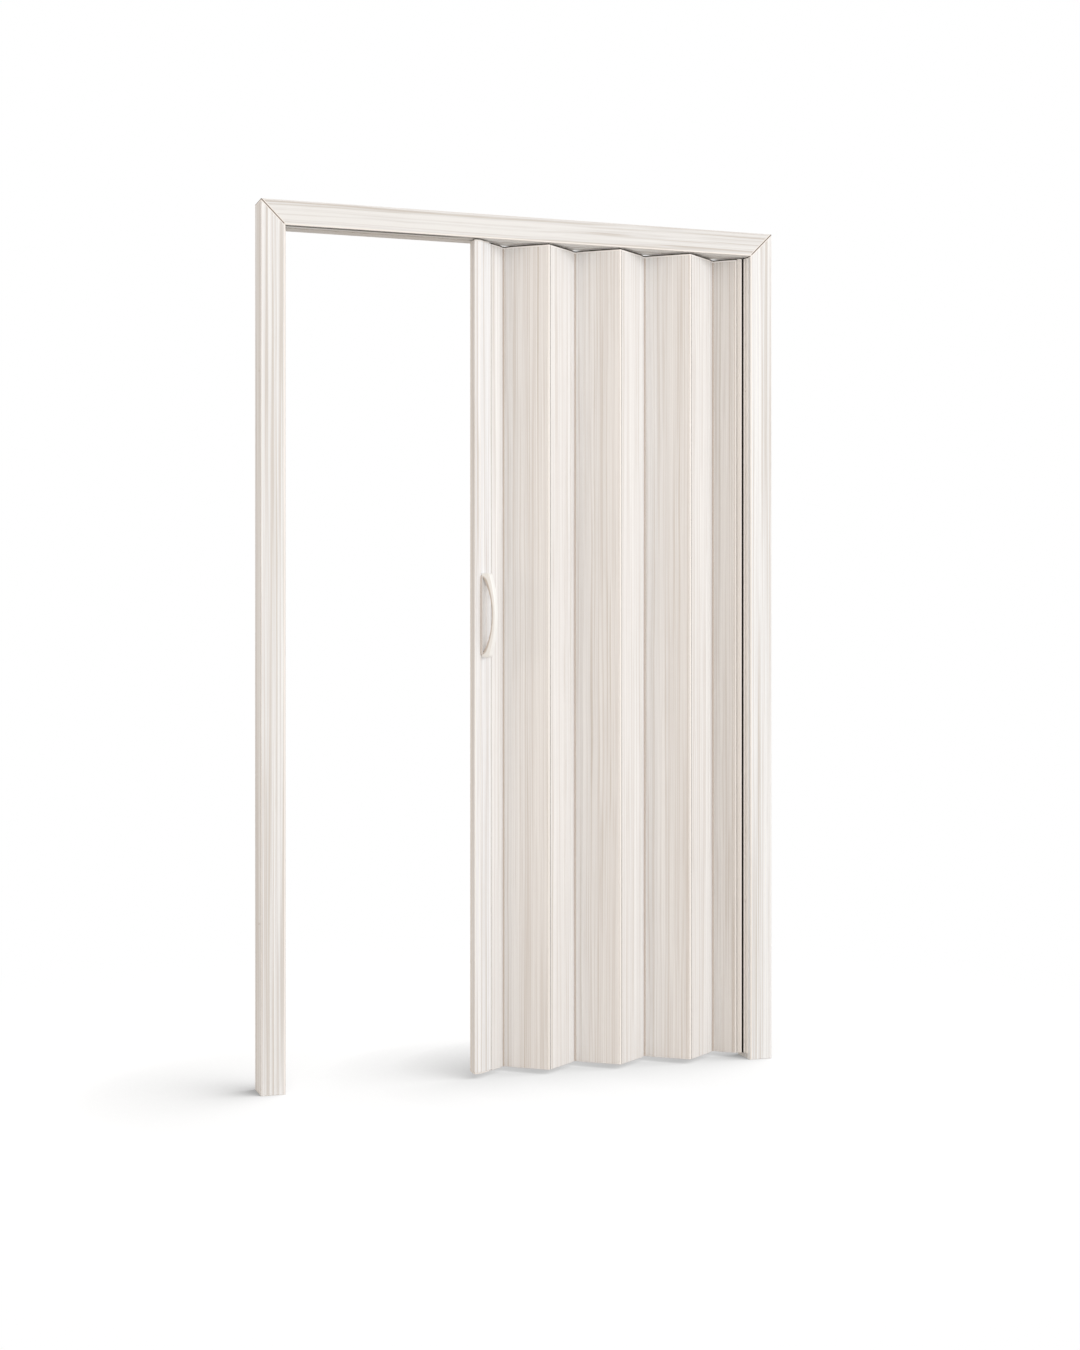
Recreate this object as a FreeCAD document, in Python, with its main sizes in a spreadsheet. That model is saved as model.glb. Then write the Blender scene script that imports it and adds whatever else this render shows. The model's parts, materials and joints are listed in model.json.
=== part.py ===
import FreeCAD, Part
import math
import os
import re
from types import SimpleNamespace

import Sketcher
from FreeCAD import Placement, Rotation, Vector

# Accordion door standing in its own frame, drawn about three fifths shut.
# Millimetres, +Z up, front towards -Y. The origin is on the floor, midway across the frame
# and midway between the handle's bow and the rearmost fold. Everything is drawn about the
# upright plane that holds the track and the hinges on it, then moved back by line_y.

# Driving sizes
size = SimpleNamespace(
    # frame of three mitred hollow profiles
    frame_width=1310.0,
    frame_height=2100.0,
    frame_depth=75.0,
    face_width=58.0,
    frame_wall=2.5,
    key_chamber=23.0,
    track_chamber=32.0,
    soffit_slot=10.0,
    lip_groove_width=2.0,
    lip_groove_depth=1.2,
    lip_groove_inset=3.0,
    foot_height=18.0,
    slip_gap=0.15,
    # corner keys and their screws
    key_leg=110.0,
    key_screw_inset=45.0,
    key_screw_radius=2.0,
    key_screw_head_radius=4.0,
    key_screw_head=1.6,
    key_screw_depth=20.0,
    # aluminium track under the header's web
    track_end_gap=4.0,
    track_wall=1.4,
    track_slot=8.0,
    track_stop_length=3.0,
    track_stop_height=16.0,
    track_screw_radius=1.9,
    track_screw_head_radius=3.6,
    track_screw_head=2.2,
    track_screw_length=9.0,
    track_screw_clear=27.0,
    # shut side: strip with a steel keeper
    strike_width=40.0,
    strike_thickness=4.0,
    keeper_width=12.0,
    keeper_thickness=1.5,
    # fixed side: channel that carries the first hinge bead
    anchor_width=46.0,
    anchor_thickness=3.5,
    anchor_stem=4.0,
    anchor_reach=26.0,
    anchor_shoulder=9.5,
    anchor_rim=1.0,
    anchor_groove_width=3.2,
    anchor_groove_depth=6.5,
    anchor_lip=3.9,
    edge_bevel=1.2,
    # screws of the strips and holes for fixing the frame into a wall
    strip_screw_radius=1.9,
    strip_screw_head_radius=3.6,
    strip_screw_head=1.6,
    strip_screw_length=14.0,
    strip_screw_offset=13.5,
    strip_screw_inset=240.0,
    wall_hole_radius=2.75,
    wall_hole_offset=13.0,
    wall_hole_spacing=1300.0,
    # slats
    slat_pitch=118.0,
    slat_thickness=8.0,
    slat_wall=1.2,
    slat_rib=1.0,
    floor_gap=13.0,
    head_gap=3.0,
    rest_angle=37.43,
    relief_angle=9.5,
    bead_radius=3.2,
    bead_gap=0.06,
    hook_wall=1.3,
    hook_gap=0.3,
    neck=1.2,
    hook_angle=175.0,
    anchor_hook_angle=170.0,
    # lead post
    post_width=47.0,
    post_back=8.0,
    bar_width=15.0,
    arm_thickness=12.0,
    arm_cell_start=8.5,
    arm_cell_end=35.0,
    post_wall=1.8,
    cap_thickness=2.5,
    cap_plug=12.0,
    magnet_width=12.0,
    magnet_thickness=3.0,
    # pull handle on the slanted face
    handle_height=206.0,
    handle_centre=1127.0,
    handle_inset=11.5,
    handle_width=22.0,
    handle_plate=4.0,
    handle_plate_inset=5.0,
    handle_corner=6.0,
    handle_reach=40.0,
    handle_thickness=9.0,
    handle_foot_reach=22.0,
    handle_foot_length=11.0,
    handle_foot_round=8.0,
    grip_width=15.0,
    grip_round=3.0,
    handle_bolt_radius=2.5,
    handle_bolt_head_radius=4.5,
    handle_bolt_head=2.6,
    handle_bolt_spacing=150.0,
    handle_bolt_offset=4.5,
    # hangers
    glider_length=22.0,
    glider_width=20.0,
    glider_height=9.0,
    glider_neck_radius=3.4,
    pin_radius=2.0,
    pin_head_radius=3.8,
    pin_head=3.0,
    pin_depth=20.0,
    insert_height=30.0,
    trolley_length=35.0,
    trolley_shift=13.5,
    trolley_width=8.6,
    trolley_height=10.0,
    trolley_lift=3.0,
    trolley_axle_spread=16.0,
    wheel_radius=7.0,
    wheel_width=5.0,
    wheel_gap=0.6,
    axle_radius=1.5,
    hanger_bolt_radius=2.0,
    hanger_bolt_head_radius=3.6,
    hanger_bolt_head=3.5,
    hanger_bolt_depth=30.0,
    hanger_block_height=24.0,
    run_gap=0.06,
    cut_overrun=5.0,
)
slat_count = 6
slat_cell_count = 3
half_slat_cell_count = 1
full_turn = 360.0
square_turn = 90.0
post_open_angle = 93.0
# places along the strips and the track, as shares of the length that the screws hold
strip_screw_shares = (0.0, 0.5, 1.0)
track_screw_shares = (-1.0, 0.0, 1.0)
end_signs = (-1, 1)

# Sizes and places worked out from the driving ones
half_width = size.frame_width / 2
half_depth = size.frame_depth / 2
opening_side = half_width - size.face_width
soffit = size.frame_height - size.face_width
key_near = size.frame_wall
key_far = key_near + size.key_chamber
key_middle = (key_near + key_far) / 2
cell_near = key_far + size.frame_wall
cell_far = size.face_width - size.frame_wall
track_roof = size.frame_height - cell_near
track_floor = size.frame_height - cell_far
track_half = size.track_chamber / 2 - size.slip_gap
lip_top = track_floor + size.slip_gap + size.track_wall
track_end = opening_side - size.track_end_gap
track_screw_span = opening_side - size.key_leg - size.track_screw_clear
curtain_top = soffit - size.head_gap
curtain_height = curtain_top - size.floor_gap
anchor_x = opening_side - size.anchor_reach
fold = math.radians(size.rest_angle)
step_x = size.slat_pitch * math.cos(fold)
fold_y = size.slat_pitch / 2 * math.sin(fold)
lead_x = anchor_x - (slat_count + 1) * step_x
post_edge = lead_x - size.post_width
socket_radius = size.bead_radius + size.bead_gap
hook_radius = socket_radius + size.hook_wall
cup_radius = hook_radius + size.hook_gap
rest_slope = math.tan(fold)
along = (math.cos(fold), math.sin(fold))
outward = (math.sin(fold), -math.cos(fold))
arm_run = size.post_width - size.bar_width
post_front = arm_run * rest_slope + size.slat_thickness / 2 / math.cos(fold)
arm_x = post_edge + size.bar_width
bar_cell_low = post_edge + size.magnet_thickness + size.post_wall
bar_cell_high = arm_x - size.post_wall
hanger_x = (bar_cell_low + bar_cell_high) / 2
trolley_x = hanger_x + size.trolley_shift


def arm_point(run, depth):
    """A point of the lead post's arm, by its run from the bar and its depth behind the face."""
    return (arm_x + run * along[0] - depth * outward[0], -post_front + run * along[1] - depth * outward[1])


handle_x, handle_y = arm_point(size.handle_inset, 0)
bolt_x, bolt_y = arm_point(size.handle_inset + size.handle_bolt_offset, size.arm_thickness)
flat_reach = size.handle_reach - size.grip_round
flat_half = size.grip_width / 2 - size.grip_round
bow_front = handle_y - flat_reach * along[0] - flat_half * along[1] - size.grip_round
line_y = -(bow_front + fold_y + hook_radius) / 2
relief_run = size.slat_thickness / 2 / math.tan(math.radians(size.relief_angle))
cell_start = relief_run + size.slat_wall
cell_width = (size.slat_pitch - 2 * cell_start - (slat_cell_count - 1) * size.slat_rib) / slat_cell_count
glider_floor = lip_top + size.slip_gap
glider_top = glider_floor + size.glider_height
wheel_z = lip_top + size.wheel_radius
trolley_floor = lip_top + size.trolley_lift
trolley_top = trolley_floor + size.trolley_height
place = SimpleNamespace(
    half_width=half_width, half_depth=half_depth, opening_side=opening_side, soffit=soffit,
    key_near=key_near, key_far=key_far, key_middle=key_middle, cell_near=cell_near, cell_far=cell_far,
    track_screw_span=track_screw_span,
    track_roof=track_roof, track_floor=track_floor, track_half=track_half, lip_top=lip_top,
    track_end=track_end, curtain_top=curtain_top, curtain_height=curtain_height,
    anchor_x=anchor_x, step_x=step_x, fold_y=fold_y, lead_x=lead_x, post_edge=post_edge,
    post_front=post_front, hanger_x=hanger_x, trolley_x=trolley_x, bolt_x=bolt_x, bolt_y=bolt_y,
    line_y=line_y, glider_floor=glider_floor, glider_top=glider_top, wheel_z=wheel_z,
    trolley_floor=trolley_floor, trolley_top=trolley_top,
)

doc = FreeCAD.newDocument("accordion_door")
sheet = doc.addObject("Spreadsheet::Sheet", "sizes")
cells = {**vars(size), **vars(place)}
for row, (alias, value) in enumerate(cells.items(), start=1):
    sheet.set(f"A{row}", alias)
    sheet.set(f"B{row}", repr(float(value)))
    sheet.setAlias(f"B{row}", alias)
doc.recompute()

nodes = []


# Helpers: binding a property to the sheet, and the few kinds of feature used below
def bind(thing, name, rule):
    words = re.sub(r"[a-z]\w+", lambda found: "sizes." + found.group(0), rule)
    thing.setExpression(name, words)


def keep(thing, label):
    """Label a finished piece. A body is moved back here, and primitives where they are made."""
    if thing.TypeId == "PartDesign::Body":
        thing.Placement = Placement(Vector(0, line_y, 0), Rotation()).multiply(thing.Placement)
    thing.Label = label
    nodes.append(thing)
    return thing


def set_back(letter, rule):
    return f"{rule} + line_y" if letter == "y" else rule


def block(name, x, y, z):
    """A box between two X, two Y and two Z values."""
    box = doc.addObject("Part::Box", name)
    for side, letter, (low, high) in zip(("Length", "Width", "Height"), "xyz", (x, y, z)):
        bind(box, side, f"({high}) - ({low})")
        bind(box, f".Placement.Base.{letter}", set_back(letter, low))
    return box


def rod(name, radius, start, length, direction):
    """A cylinder that runs from start along a direction."""
    cylinder = doc.addObject("Part::Cylinder", name)
    cylinder.Placement = Placement(Vector(), Rotation(Vector(0, 0, 1), direction))
    bind(cylinder, "Radius", radius)
    bind(cylinder, "Height", length)
    for letter, rule in zip("xyz", start):
        bind(cylinder, f".Placement.Base.{letter}", set_back(letter, rule))
    return cylinder


def fused(name, shapes):
    union = doc.addObject("Part::MultiFuse", name)
    union.Shapes = shapes
    union.Refine = True
    return union


def cut(name, base, tools):
    tool = tools[0]
    if len(tools) > 1:
        tool = doc.addObject("Part::Compound", name + "_cuts")
        tool.Links = tools
    difference = doc.addObject("Part::Cut", name)
    difference.Base = base
    difference.Tool = tool
    return difference


def group(name, pieces):
    bundle = doc.addObject("Part::Compound", name)
    bundle.Links = pieces
    return bundle


def plane(body, role):
    return next(item for item in body.Origin.OriginFeatures if item.Role == role)


def sketch(body, name, role, edges, offset=0.0):
    """Edges on one of the body's own planes, moved along it by a length or set by a placement."""
    drawing = body.newObject("Sketcher::SketchObject", name)
    drawing.AttachmentSupport = [(plane(body, role), "")]
    drawing.MapMode = "FlatFace"
    if not isinstance(offset, Placement):
        offset = Placement(Vector(0, 0, offset), Rotation())
    drawing.AttachmentOffset = offset
    drawing.addGeometry(edges, False)
    return drawing


def pad(body, name, role, edges, length, symmetric=False, offset=0.0):
    feature = body.newObject("PartDesign::Pad", name)
    feature.Profile = sketch(body, name + "_outline", role, edges, offset)
    bind(feature, "Length", length)
    if symmetric:
        feature.SideType = "Symmetric"
    return feature


def pocket(body, name, role, edges, length=None, offset=0.0):
    feature = body.newObject("PartDesign::Pocket", name)
    feature.Profile = sketch(body, name + "_outline", role, edges, offset)
    feature.SideType = "Symmetric"
    if length is None:
        feature.Type = "ThroughAll"
    else:
        bind(feature, "Length", length)
    return feature


def loop(points):
    corners = [Vector(x, y, 0) for x, y in points]
    return [Part.LineSegment(a, b) for a, b in zip(corners, corners[1:] + corners[:1])]


def circle(x, y, radius):
    return Part.Circle(Vector(x, y, 0), Vector(0, 0, 1), radius)


def polar(centre_x, radius, degrees):
    angle = math.radians(degrees)
    return Vector(centre_x + radius * math.cos(angle), radius * math.sin(angle), 0)


def arc(centre_x, radius, start, end):
    """An arc about a point of the X axis, through three points given in degrees."""
    middle = polar(centre_x, radius, (start + end) / 2)
    return Part.Arc(polar(centre_x, radius, start), middle, polar(centre_x, radius, end))


# Frame: two jambs and a header cut at 45 degrees from one hollow profile
def jamb_outline(side, near, far):
    """Front view of a strip of the jamb between two distances from its outer edge."""
    outer = side * (half_width - near)
    inner = side * (half_width - far)
    top = size.frame_height
    return loop([(outer, 0), (inner, 0), (inner, top - far), (outer, top - near)])


def header_outline(side, near, far):
    top = size.frame_height - near
    low = size.frame_height - far
    wide = half_width - near
    narrow = half_width - far
    return loop([(-wide, top), (wide, top), (narrow, low), (-narrow, low)])


def profile(name, outline, side):
    """A length of the frame's profile, with one wide chamber and three behind it."""
    body = doc.addObject("PartDesign::Body", name)
    pad(body, name + "_bar", "XZ_Plane", outline(side, 0, size.face_width), "frame_depth", True)
    pocket(body, name + "_key_chamber", "XZ_Plane", outline(side, key_near, key_far),
           "frame_depth - 2 * frame_wall")
    pocket(body, name + "_mid_chamber", "XZ_Plane", outline(side, cell_near, cell_far), "track_chamber")
    rib = size.track_chamber / 2 + size.frame_wall
    for end, word in ((-1, "front"), (1, "back")):
        middle = end * (rib + half_depth - size.frame_wall) / 2
        pocket(body, f"{name}_{word}_chamber", "XZ_Plane", outline(side, cell_near, cell_far),
               "half_depth - track_chamber / 2 - 2 * frame_wall", offset=-middle)
    return body


def key_screw_rules(side):
    """X and Z of the two screws of one corner key: one in the jamb and one in the header."""
    sign = "-" if side < 0 else ""
    upright = (f"{sign}(half_width - key_middle)", "frame_height - face_width - key_screw_inset")
    flat = (f"{sign}(opening_side - key_screw_inset)", "frame_height - key_middle")
    return upright, flat


def key_screw_places(side):
    """The same two places as numbers."""
    upright = (side * (half_width - key_middle), size.frame_height - size.face_width - size.key_screw_inset)
    flat = (side * (opening_side - size.key_screw_inset), size.frame_height - key_middle)
    return upright, flat


def back_holes(body, name, places, radius):
    """Round holes that run through the back wall only, past the chamber behind it."""
    feature = body.newObject("PartDesign::Pocket", name)
    circles = [circle(x, z, radius) for x, z in places]
    feature.Profile = sketch(body, name + "_outline", "XZ_Plane", circles, -half_depth)
    bind(feature, "Length", "2 * frame_wall")
    feature.SideType = "Symmetric"
    return feature


strip_rows = [size.strip_screw_inset + share * (curtain_height - 2 * size.strip_screw_inset)
              for share in strip_screw_shares]
wall_rows = [size.frame_height / 2 - size.wall_hole_spacing / 2,
             size.frame_height / 2 + size.wall_hole_spacing / 2]


def side_holes(body, name, side, radius, places, near, far):
    """Round holes along X between two distances from the frame's outer edge."""
    feature = body.newObject("PartDesign::Pocket", name)
    middle = side * (half_width - (near + far) / 2)
    circles = [circle(y, z, radius) for y, z in places]
    feature.Profile = sketch(body, name + "_outline", "YZ_Plane", circles, middle)
    feature.Length = far - near
    feature.SideType = "Symmetric"
    return feature


def jamb(side, name):
    body = profile(name, jamb_outline, side)
    back_holes(body, name + "_key_hole", [key_screw_places(side)[0]], size.key_screw_radius + size.run_gap)
    wall = [(-size.wall_hole_offset, z) for z in wall_rows]
    side_holes(body, name + "_wall_holes", side, size.wall_hole_radius, wall,
               -size.cut_overrun, size.face_width + size.cut_overrun)
    screws = [(size.strip_screw_offset, z) for z in strip_rows]
    side_holes(body, name + "_strip_holes", side, size.strip_screw_radius + size.run_gap, screws,
               cell_far - size.frame_wall / 2, size.face_width + size.cut_overrun)
    keep(body, name)


def strip(reach, low, high):
    """A rectangle that runs both ways from the middle of the X axis."""
    return loop([(-reach, low), (reach, low), (reach, high), (-reach, high)])


def header():
    body = profile("header", header_outline, 1)
    slot = body.newObject("PartDesign::Pocket", "header_slot")
    half = size.soffit_slot / 2
    edge = strip(opening_side, -half, half)
    slot.Profile = sketch(body, "header_slot_outline", "XY_Plane", edge, soffit)
    bind(slot, "Length", "2 * frame_wall + 2 * slip_gap")
    slot.SideType = "Symmetric"
    grooves = []
    for end in end_signs:
        outer = end * (half_depth - size.lip_groove_inset)
        inner = outer - end * size.lip_groove_width
        grooves += strip(half_width, inner, outer)
    groove = body.newObject("PartDesign::Pocket", "header_lip_grooves")
    groove.Profile = sketch(body, "header_lip_groove_outline", "XY_Plane", grooves, soffit)
    bind(groove, "Length", "2 * lip_groove_depth")
    groove.SideType = "Symmetric"
    flats = [key_screw_places(side)[1] for side in end_signs]
    back_holes(body, "header_key_holes", flats, size.key_screw_radius + size.run_gap)
    screws = body.newObject("PartDesign::Pocket", "header_track_holes")
    holes = [circle(x, 0, size.track_screw_radius + size.run_gap) for x in track_screw_rows]
    screws.Profile = sketch(body, "header_track_hole_outline", "XY_Plane", holes, track_roof)
    bind(screws, "Length", "4 * frame_wall")
    screws.SideType = "Symmetric"
    keep(body, "header")


track_screw_rows = [share * track_screw_span for share in track_screw_shares]
jamb(-1, "jamb_left")
jamb(1, "jamb_right")
header()


# Corner keys: solid angles that fill the wide chambers on both sides of a mitre
def corner_key(side, name):
    gap = size.slip_gap
    outer = side * (half_width - key_near - gap)
    inner = side * (half_width - key_far + gap)
    tip = side * (opening_side - size.key_leg)
    top = size.frame_height - key_near - gap
    under = size.frame_height - key_far + gap
    foot = size.frame_height - size.face_width - size.key_leg
    edges = loop([(outer, foot), (outer, top), (tip, top), (tip, under), (inner, under), (inner, foot)])
    body = doc.addObject("PartDesign::Body", name)
    pad(body, name + "_angle", "XZ_Plane", edges, "frame_depth - 2 * frame_wall - 2 * slip_gap", True)
    holes = body.newObject("PartDesign::Pocket", name + "_holes")
    circles = [circle(x, z, size.key_screw_radius + size.run_gap) for x, z in key_screw_places(side)]
    holes.Profile = sketch(body, name + "_hole_outline", "XZ_Plane", circles, -half_depth)
    bind(holes, "Length", "2 * key_screw_depth")
    holes.SideType = "Symmetric"
    keep(body, name)


def screw(name, radius, head_radius, start, length, head, direction):
    """Shank from start along direction, with its head on the other side of start."""
    shank = rod(name + "_shank", radius, start, length, direction)
    cap = rod(name + "_head", head_radius, start, head, -direction)
    return fused(name, [shank, cap])


def key_screws():
    forward = Vector(0, -1, 0)
    pieces = []
    for side in end_signs:
        for x, z in key_screw_rules(side):
            pieces.append(screw(f"key_screw_{len(pieces)}", "key_screw_radius", "key_screw_head_radius",
                                (x, "half_depth", z), "key_screw_depth", "key_screw_head", forward))
    keep(group("key_screws", pieces), "key_screws")


corner_key(-1, "corner_key_left")
corner_key(1, "corner_key_right")
key_screws()


# Feet: plugs in the wide chamber, level with the bottom of each jamb
def foot(side, name):
    outer = "half_width - key_near - slip_gap"
    inner = "half_width - key_far + slip_gap"
    span = (inner, outer) if side > 0 else (f"-({outer})", f"-({inner})")
    wide = "half_depth - frame_wall - slip_gap"
    keep(block(name, span, (f"-({wide})", wide), ("0", "foot_height")), name)


foot(-1, "foot_left")
foot(1, "foot_right")


# Track: an open aluminium channel that hangs under the header's web
def track():
    body = doc.addObject("PartDesign::Body", "track")
    wall = size.track_wall
    slot = size.track_slot / 2
    low = track_floor + size.slip_gap
    right = [(slot, low), (track_half, low), (track_half, track_roof)]
    inner = [(track_half - wall, track_roof - wall), (track_half - wall, low + wall), (slot, low + wall)]
    left = [(-x, z) for x, z in reversed(right)]
    back = [(-x, z) for x, z in reversed(inner)]
    outline = loop(right + left + back + inner)
    # the channel's section is drawn across the YZ plane and runs both ways from the middle
    pad(body, "track_channel", "YZ_Plane", outline, "2 * track_end", True)
    holes = body.newObject("PartDesign::Pocket", "track_holes")
    circles = [circle(x, 0, size.track_screw_radius + size.run_gap) for x in track_screw_rows]
    holes.Profile = sketch(body, "track_hole_outline", "XY_Plane", circles, track_roof)
    bind(holes, "Length", "4 * track_wall")
    holes.SideType = "Symmetric"
    keep(body, "track")


def track_screws():
    up = Vector(0, 0, 1)
    pieces = []
    for share in track_screw_shares:
        pieces.append(screw(f"track_screw_{len(pieces)}", "track_screw_radius", "track_screw_head_radius",
                            (f"{share} * track_screw_span", "0", "track_roof - track_wall"),
                            "track_screw_length", "track_screw_head", up))
    keep(group("track_screws", pieces), "track_screws")


def track_stop(side, name):
    high = "track_end"
    low = "track_end - track_stop_length"
    span = (low, high) if side > 0 else (f"-({high})", f"-({low})")
    wide = "track_half - track_wall - slip_gap"
    keep(block(name, span, (f"-({wide})", wide), ("lip_top", "lip_top + track_stop_height")), name)


track()
track_screws()
track_stop(-1, "track_stop_left")
track_stop(1, "track_stop_right")


# Strips on the inner faces of the jambs, held by a row of screws each
def strip_screws(side, thickness, name):
    inward = Vector(side, 0, 0)
    sign = "-" if side < 0 else ""
    pieces = []
    for share in strip_screw_shares:
        height = f"strip_screw_inset + {share!r} * (curtain_height - 2 * strip_screw_inset)"
        pieces.append(screw(f"{name}_{len(pieces)}", "strip_screw_radius", "strip_screw_head_radius",
                            (f"{sign}(opening_side - {thickness} + strip_screw_head)",
                             "strip_screw_offset", height),
                            "strip_screw_length", "strip_screw_head", inward))
    keep(group(name, pieces), name)


def strip_bores(body, name, side, thickness):
    """Countersunk seats, screw holes and wall-fixing holes through a strip."""
    near = size.face_width
    seat = near + thickness - size.strip_screw_head
    screws = [(size.strip_screw_offset, z) for z in strip_rows]
    side_holes(body, name + "_screw_holes", side, size.strip_screw_radius + size.run_gap, screws,
               near - size.cut_overrun, near + thickness + size.cut_overrun)
    side_holes(body, name + "_screw_seats", side, size.strip_screw_head_radius + size.run_gap, screws,
               seat, near + thickness + size.cut_overrun)
    walls = [(-size.wall_hole_offset, z) for z in wall_rows]
    side_holes(body, name + "_wall_holes", side, size.wall_hole_radius, walls,
               near - size.cut_overrun, near + thickness + size.cut_overrun)


def strike():
    body = doc.addObject("PartDesign::Body", "strike_strip")
    half = size.strike_width / 2
    back = -opening_side
    face = back + size.strike_thickness
    groove = size.keeper_width / 2
    floor = face - size.keeper_thickness
    bevel = size.edge_bevel
    upper = [(back, half), (face - bevel, half), (face, half - bevel), (face, groove), (floor, groove)]
    lower = [(x, -y) for x, y in reversed(upper)]
    pad(body, "strike_bar", "XY_Plane", loop(upper + lower), "curtain_height", offset=size.floor_gap)
    strip_bores(body, "strike", -1, size.strike_thickness)
    keep(body, "strike_strip")
    low = "-opening_side + strike_thickness - keeper_thickness"
    keeper = block("strike_keeper", (low, low + " + keeper_thickness"),
                   ("-keeper_width / 2", "keeper_width / 2"), ("floor_gap", "curtain_top"))
    keep(keeper, "strike_keeper")
    strip_screws(-1, "strike_thickness", "strike_screws")


def anchor():
    """Base strip, grooved nose, neck and bead, all one length of profile."""
    body = doc.addObject("PartDesign::Body", "anchor_channel")
    half = size.anchor_width / 2
    back = opening_side
    face = back - size.anchor_thickness
    stem = size.anchor_stem / 2
    neck = size.neck / 2
    bevel = size.edge_bevel
    cup = math.degrees(math.asin(stem / cup_radius))
    root = math.degrees(math.asin(neck / cup_radius))
    tip = math.degrees(math.asin(neck / size.bead_radius))
    stem_start = polar(anchor_x, cup_radius, cup)
    shoulder = size.anchor_shoulder
    groove_far = face - size.anchor_lip
    groove_near = groove_far - size.anchor_groove_width
    floor = shoulder - size.anchor_groove_depth
    upper = [(stem_start.x, stem), (groove_near - size.anchor_rim, shoulder), (groove_near, shoulder),
             (groove_near, floor), (groove_far, floor), (groove_far, shoulder), (face, shoulder),
             (face, half - bevel), (face + bevel, half), (back, half)]
    lower = [(x, -y) for x, y in reversed(upper)]
    points = [Vector(x, y, 0) for x, y in upper + lower]
    edges = [Part.LineSegment(a, b) for a, b in zip(points, points[1:])]
    bead = size.bead_radius
    edges += [
        arc(anchor_x, cup_radius, -cup, -root),
        Part.LineSegment(polar(anchor_x, cup_radius, -root), polar(anchor_x, bead, -tip)),
        arc(anchor_x, bead, tip, full_turn - tip),
        Part.LineSegment(polar(anchor_x, bead, tip), polar(anchor_x, cup_radius, root)),
        arc(anchor_x, cup_radius, root, cup),
    ]
    pad(body, "anchor_bar", "XY_Plane", edges, "curtain_height", offset=size.floor_gap)
    strip_bores(body, "anchor", 1, size.anchor_thickness)
    keep(body, "anchor_channel")
    strip_screws(1, "anchor_thickness", "anchor_screws")


strike()
anchor()


# Slats: hollow profiles with a hook on one edge and a bead on the other
hook_start = -(size.relief_angle - math.degrees(math.asin(size.slip_gap / socket_radius)))


def slat_edges(length, hook_end):
    """Outline of a slat whose hook is about the origin and whose bead is at the other end.

    The faces next to each hinge are relieved on the inside of the fold, front and back in turn.
    """
    half = size.slat_thickness / 2
    outer = math.degrees(math.asin(half / hook_radius))
    neck = size.neck / 2
    root = math.degrees(math.asin(neck / cup_radius))
    tip = math.degrees(math.asin(neck / size.bead_radius))
    corner = math.degrees(math.asin(half / cup_radius))
    relief = size.relief_angle - math.degrees(math.asin(size.slip_gap / cup_radius))

    def line(start, end):
        return Part.LineSegment(start, end)

    hook_in = polar(0, socket_radius, hook_start)
    face_front = Vector(length - relief_run, half, 0)
    face_back = Vector(relief_run, -half, 0)
    return [
        arc(0, socket_radius, hook_start, hook_end),
        line(polar(0, socket_radius, hook_end), polar(0, hook_radius, hook_end)),
        arc(0, hook_radius, hook_end, outer),
        line(polar(0, hook_radius, outer), face_front),
        line(face_front, polar(length, cup_radius, 180 - relief)),
        arc(length, cup_radius, 180 - relief, 180 - root),
        line(polar(length, cup_radius, 180 - root), polar(length, size.bead_radius, 180 - tip)),
        arc(length, size.bead_radius, 180 - tip, -180 + tip),
        line(polar(length, size.bead_radius, 180 + tip), polar(length, cup_radius, 180 + root)),
        arc(length, cup_radius, 180 + root, 180 + corner),
        line(polar(length, cup_radius, 180 + corner), face_back),
        line(face_back, hook_in),
    ]


def mirrored(edges):
    """The same outline seen from its other end, as when the profile is turned upside down."""
    flipped = []
    for edge in edges:
        start = edge.StartPoint
        end = edge.EndPoint
        if isinstance(edge, Part.LineSegment):
            flipped.append(Part.LineSegment(Vector(start.x, -start.y, 0), Vector(end.x, -end.y, 0)))
        else:
            middle = edge.value((edge.FirstParameter + edge.LastParameter) / 2)
            flipped.append(Part.Arc(Vector(start.x, -start.y, 0), Vector(middle.x, -middle.y, 0),
                                    Vector(end.x, -end.y, 0)))
    return flipped


def slat_cell_edges(length, count):
    """Rectangular cells between the two relieved ends, with a thin rib between neighbours."""
    half = size.slat_thickness / 2 - size.slat_wall
    width = (length - 2 * cell_start - (count - 1) * size.slat_rib) / count
    edges = []
    for number in range(count):
        left = cell_start + number * (width + size.slat_rib)
        edges += loop([(left, -half), (left + width, -half), (left + width, half), (left, half)])
    return edges


def slat(name, length, count, turn, x, y, bearing, hook_end=size.hook_angle):
    """A slat whose hook is at x, y and whose bead lies along the bearing from there."""
    edges = slat_edges(length, hook_end)
    if turn < 0:
        edges = mirrored(edges)
    body = doc.addObject("PartDesign::Body", name)
    pad(body, name + "_wall", "XY_Plane", edges + slat_cell_edges(length, count), "curtain_height")
    body.Placement = Placement(Vector(x, y, size.floor_gap), Rotation(Vector(0, 0, 1), bearing))
    keep(body, name)


# Odd slats run forwards as they go left and even ones run back, like the half slat at the jamb
slat("slat_anchor", size.slat_pitch / 2, half_slat_cell_count, 1, anchor_x, 0, 180 - size.rest_angle,
     size.anchor_hook_angle)
slat_x = anchor_x - step_x / 2
slat_y = fold_y
for number in range(1, slat_count + 1):
    forwards = number % 2 == 1
    bearing = 180 + size.rest_angle if forwards else 180 - size.rest_angle
    slat(f"slat_{number}", size.slat_pitch, slat_cell_count, -1 if forwards else 1, slat_x, slat_y, bearing)
    slat_x -= step_x
    slat_y = -slat_y
slat("slat_lead", size.slat_pitch / 2, half_slat_cell_count, -1, slat_x, slat_y, 180 + size.rest_angle)


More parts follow.
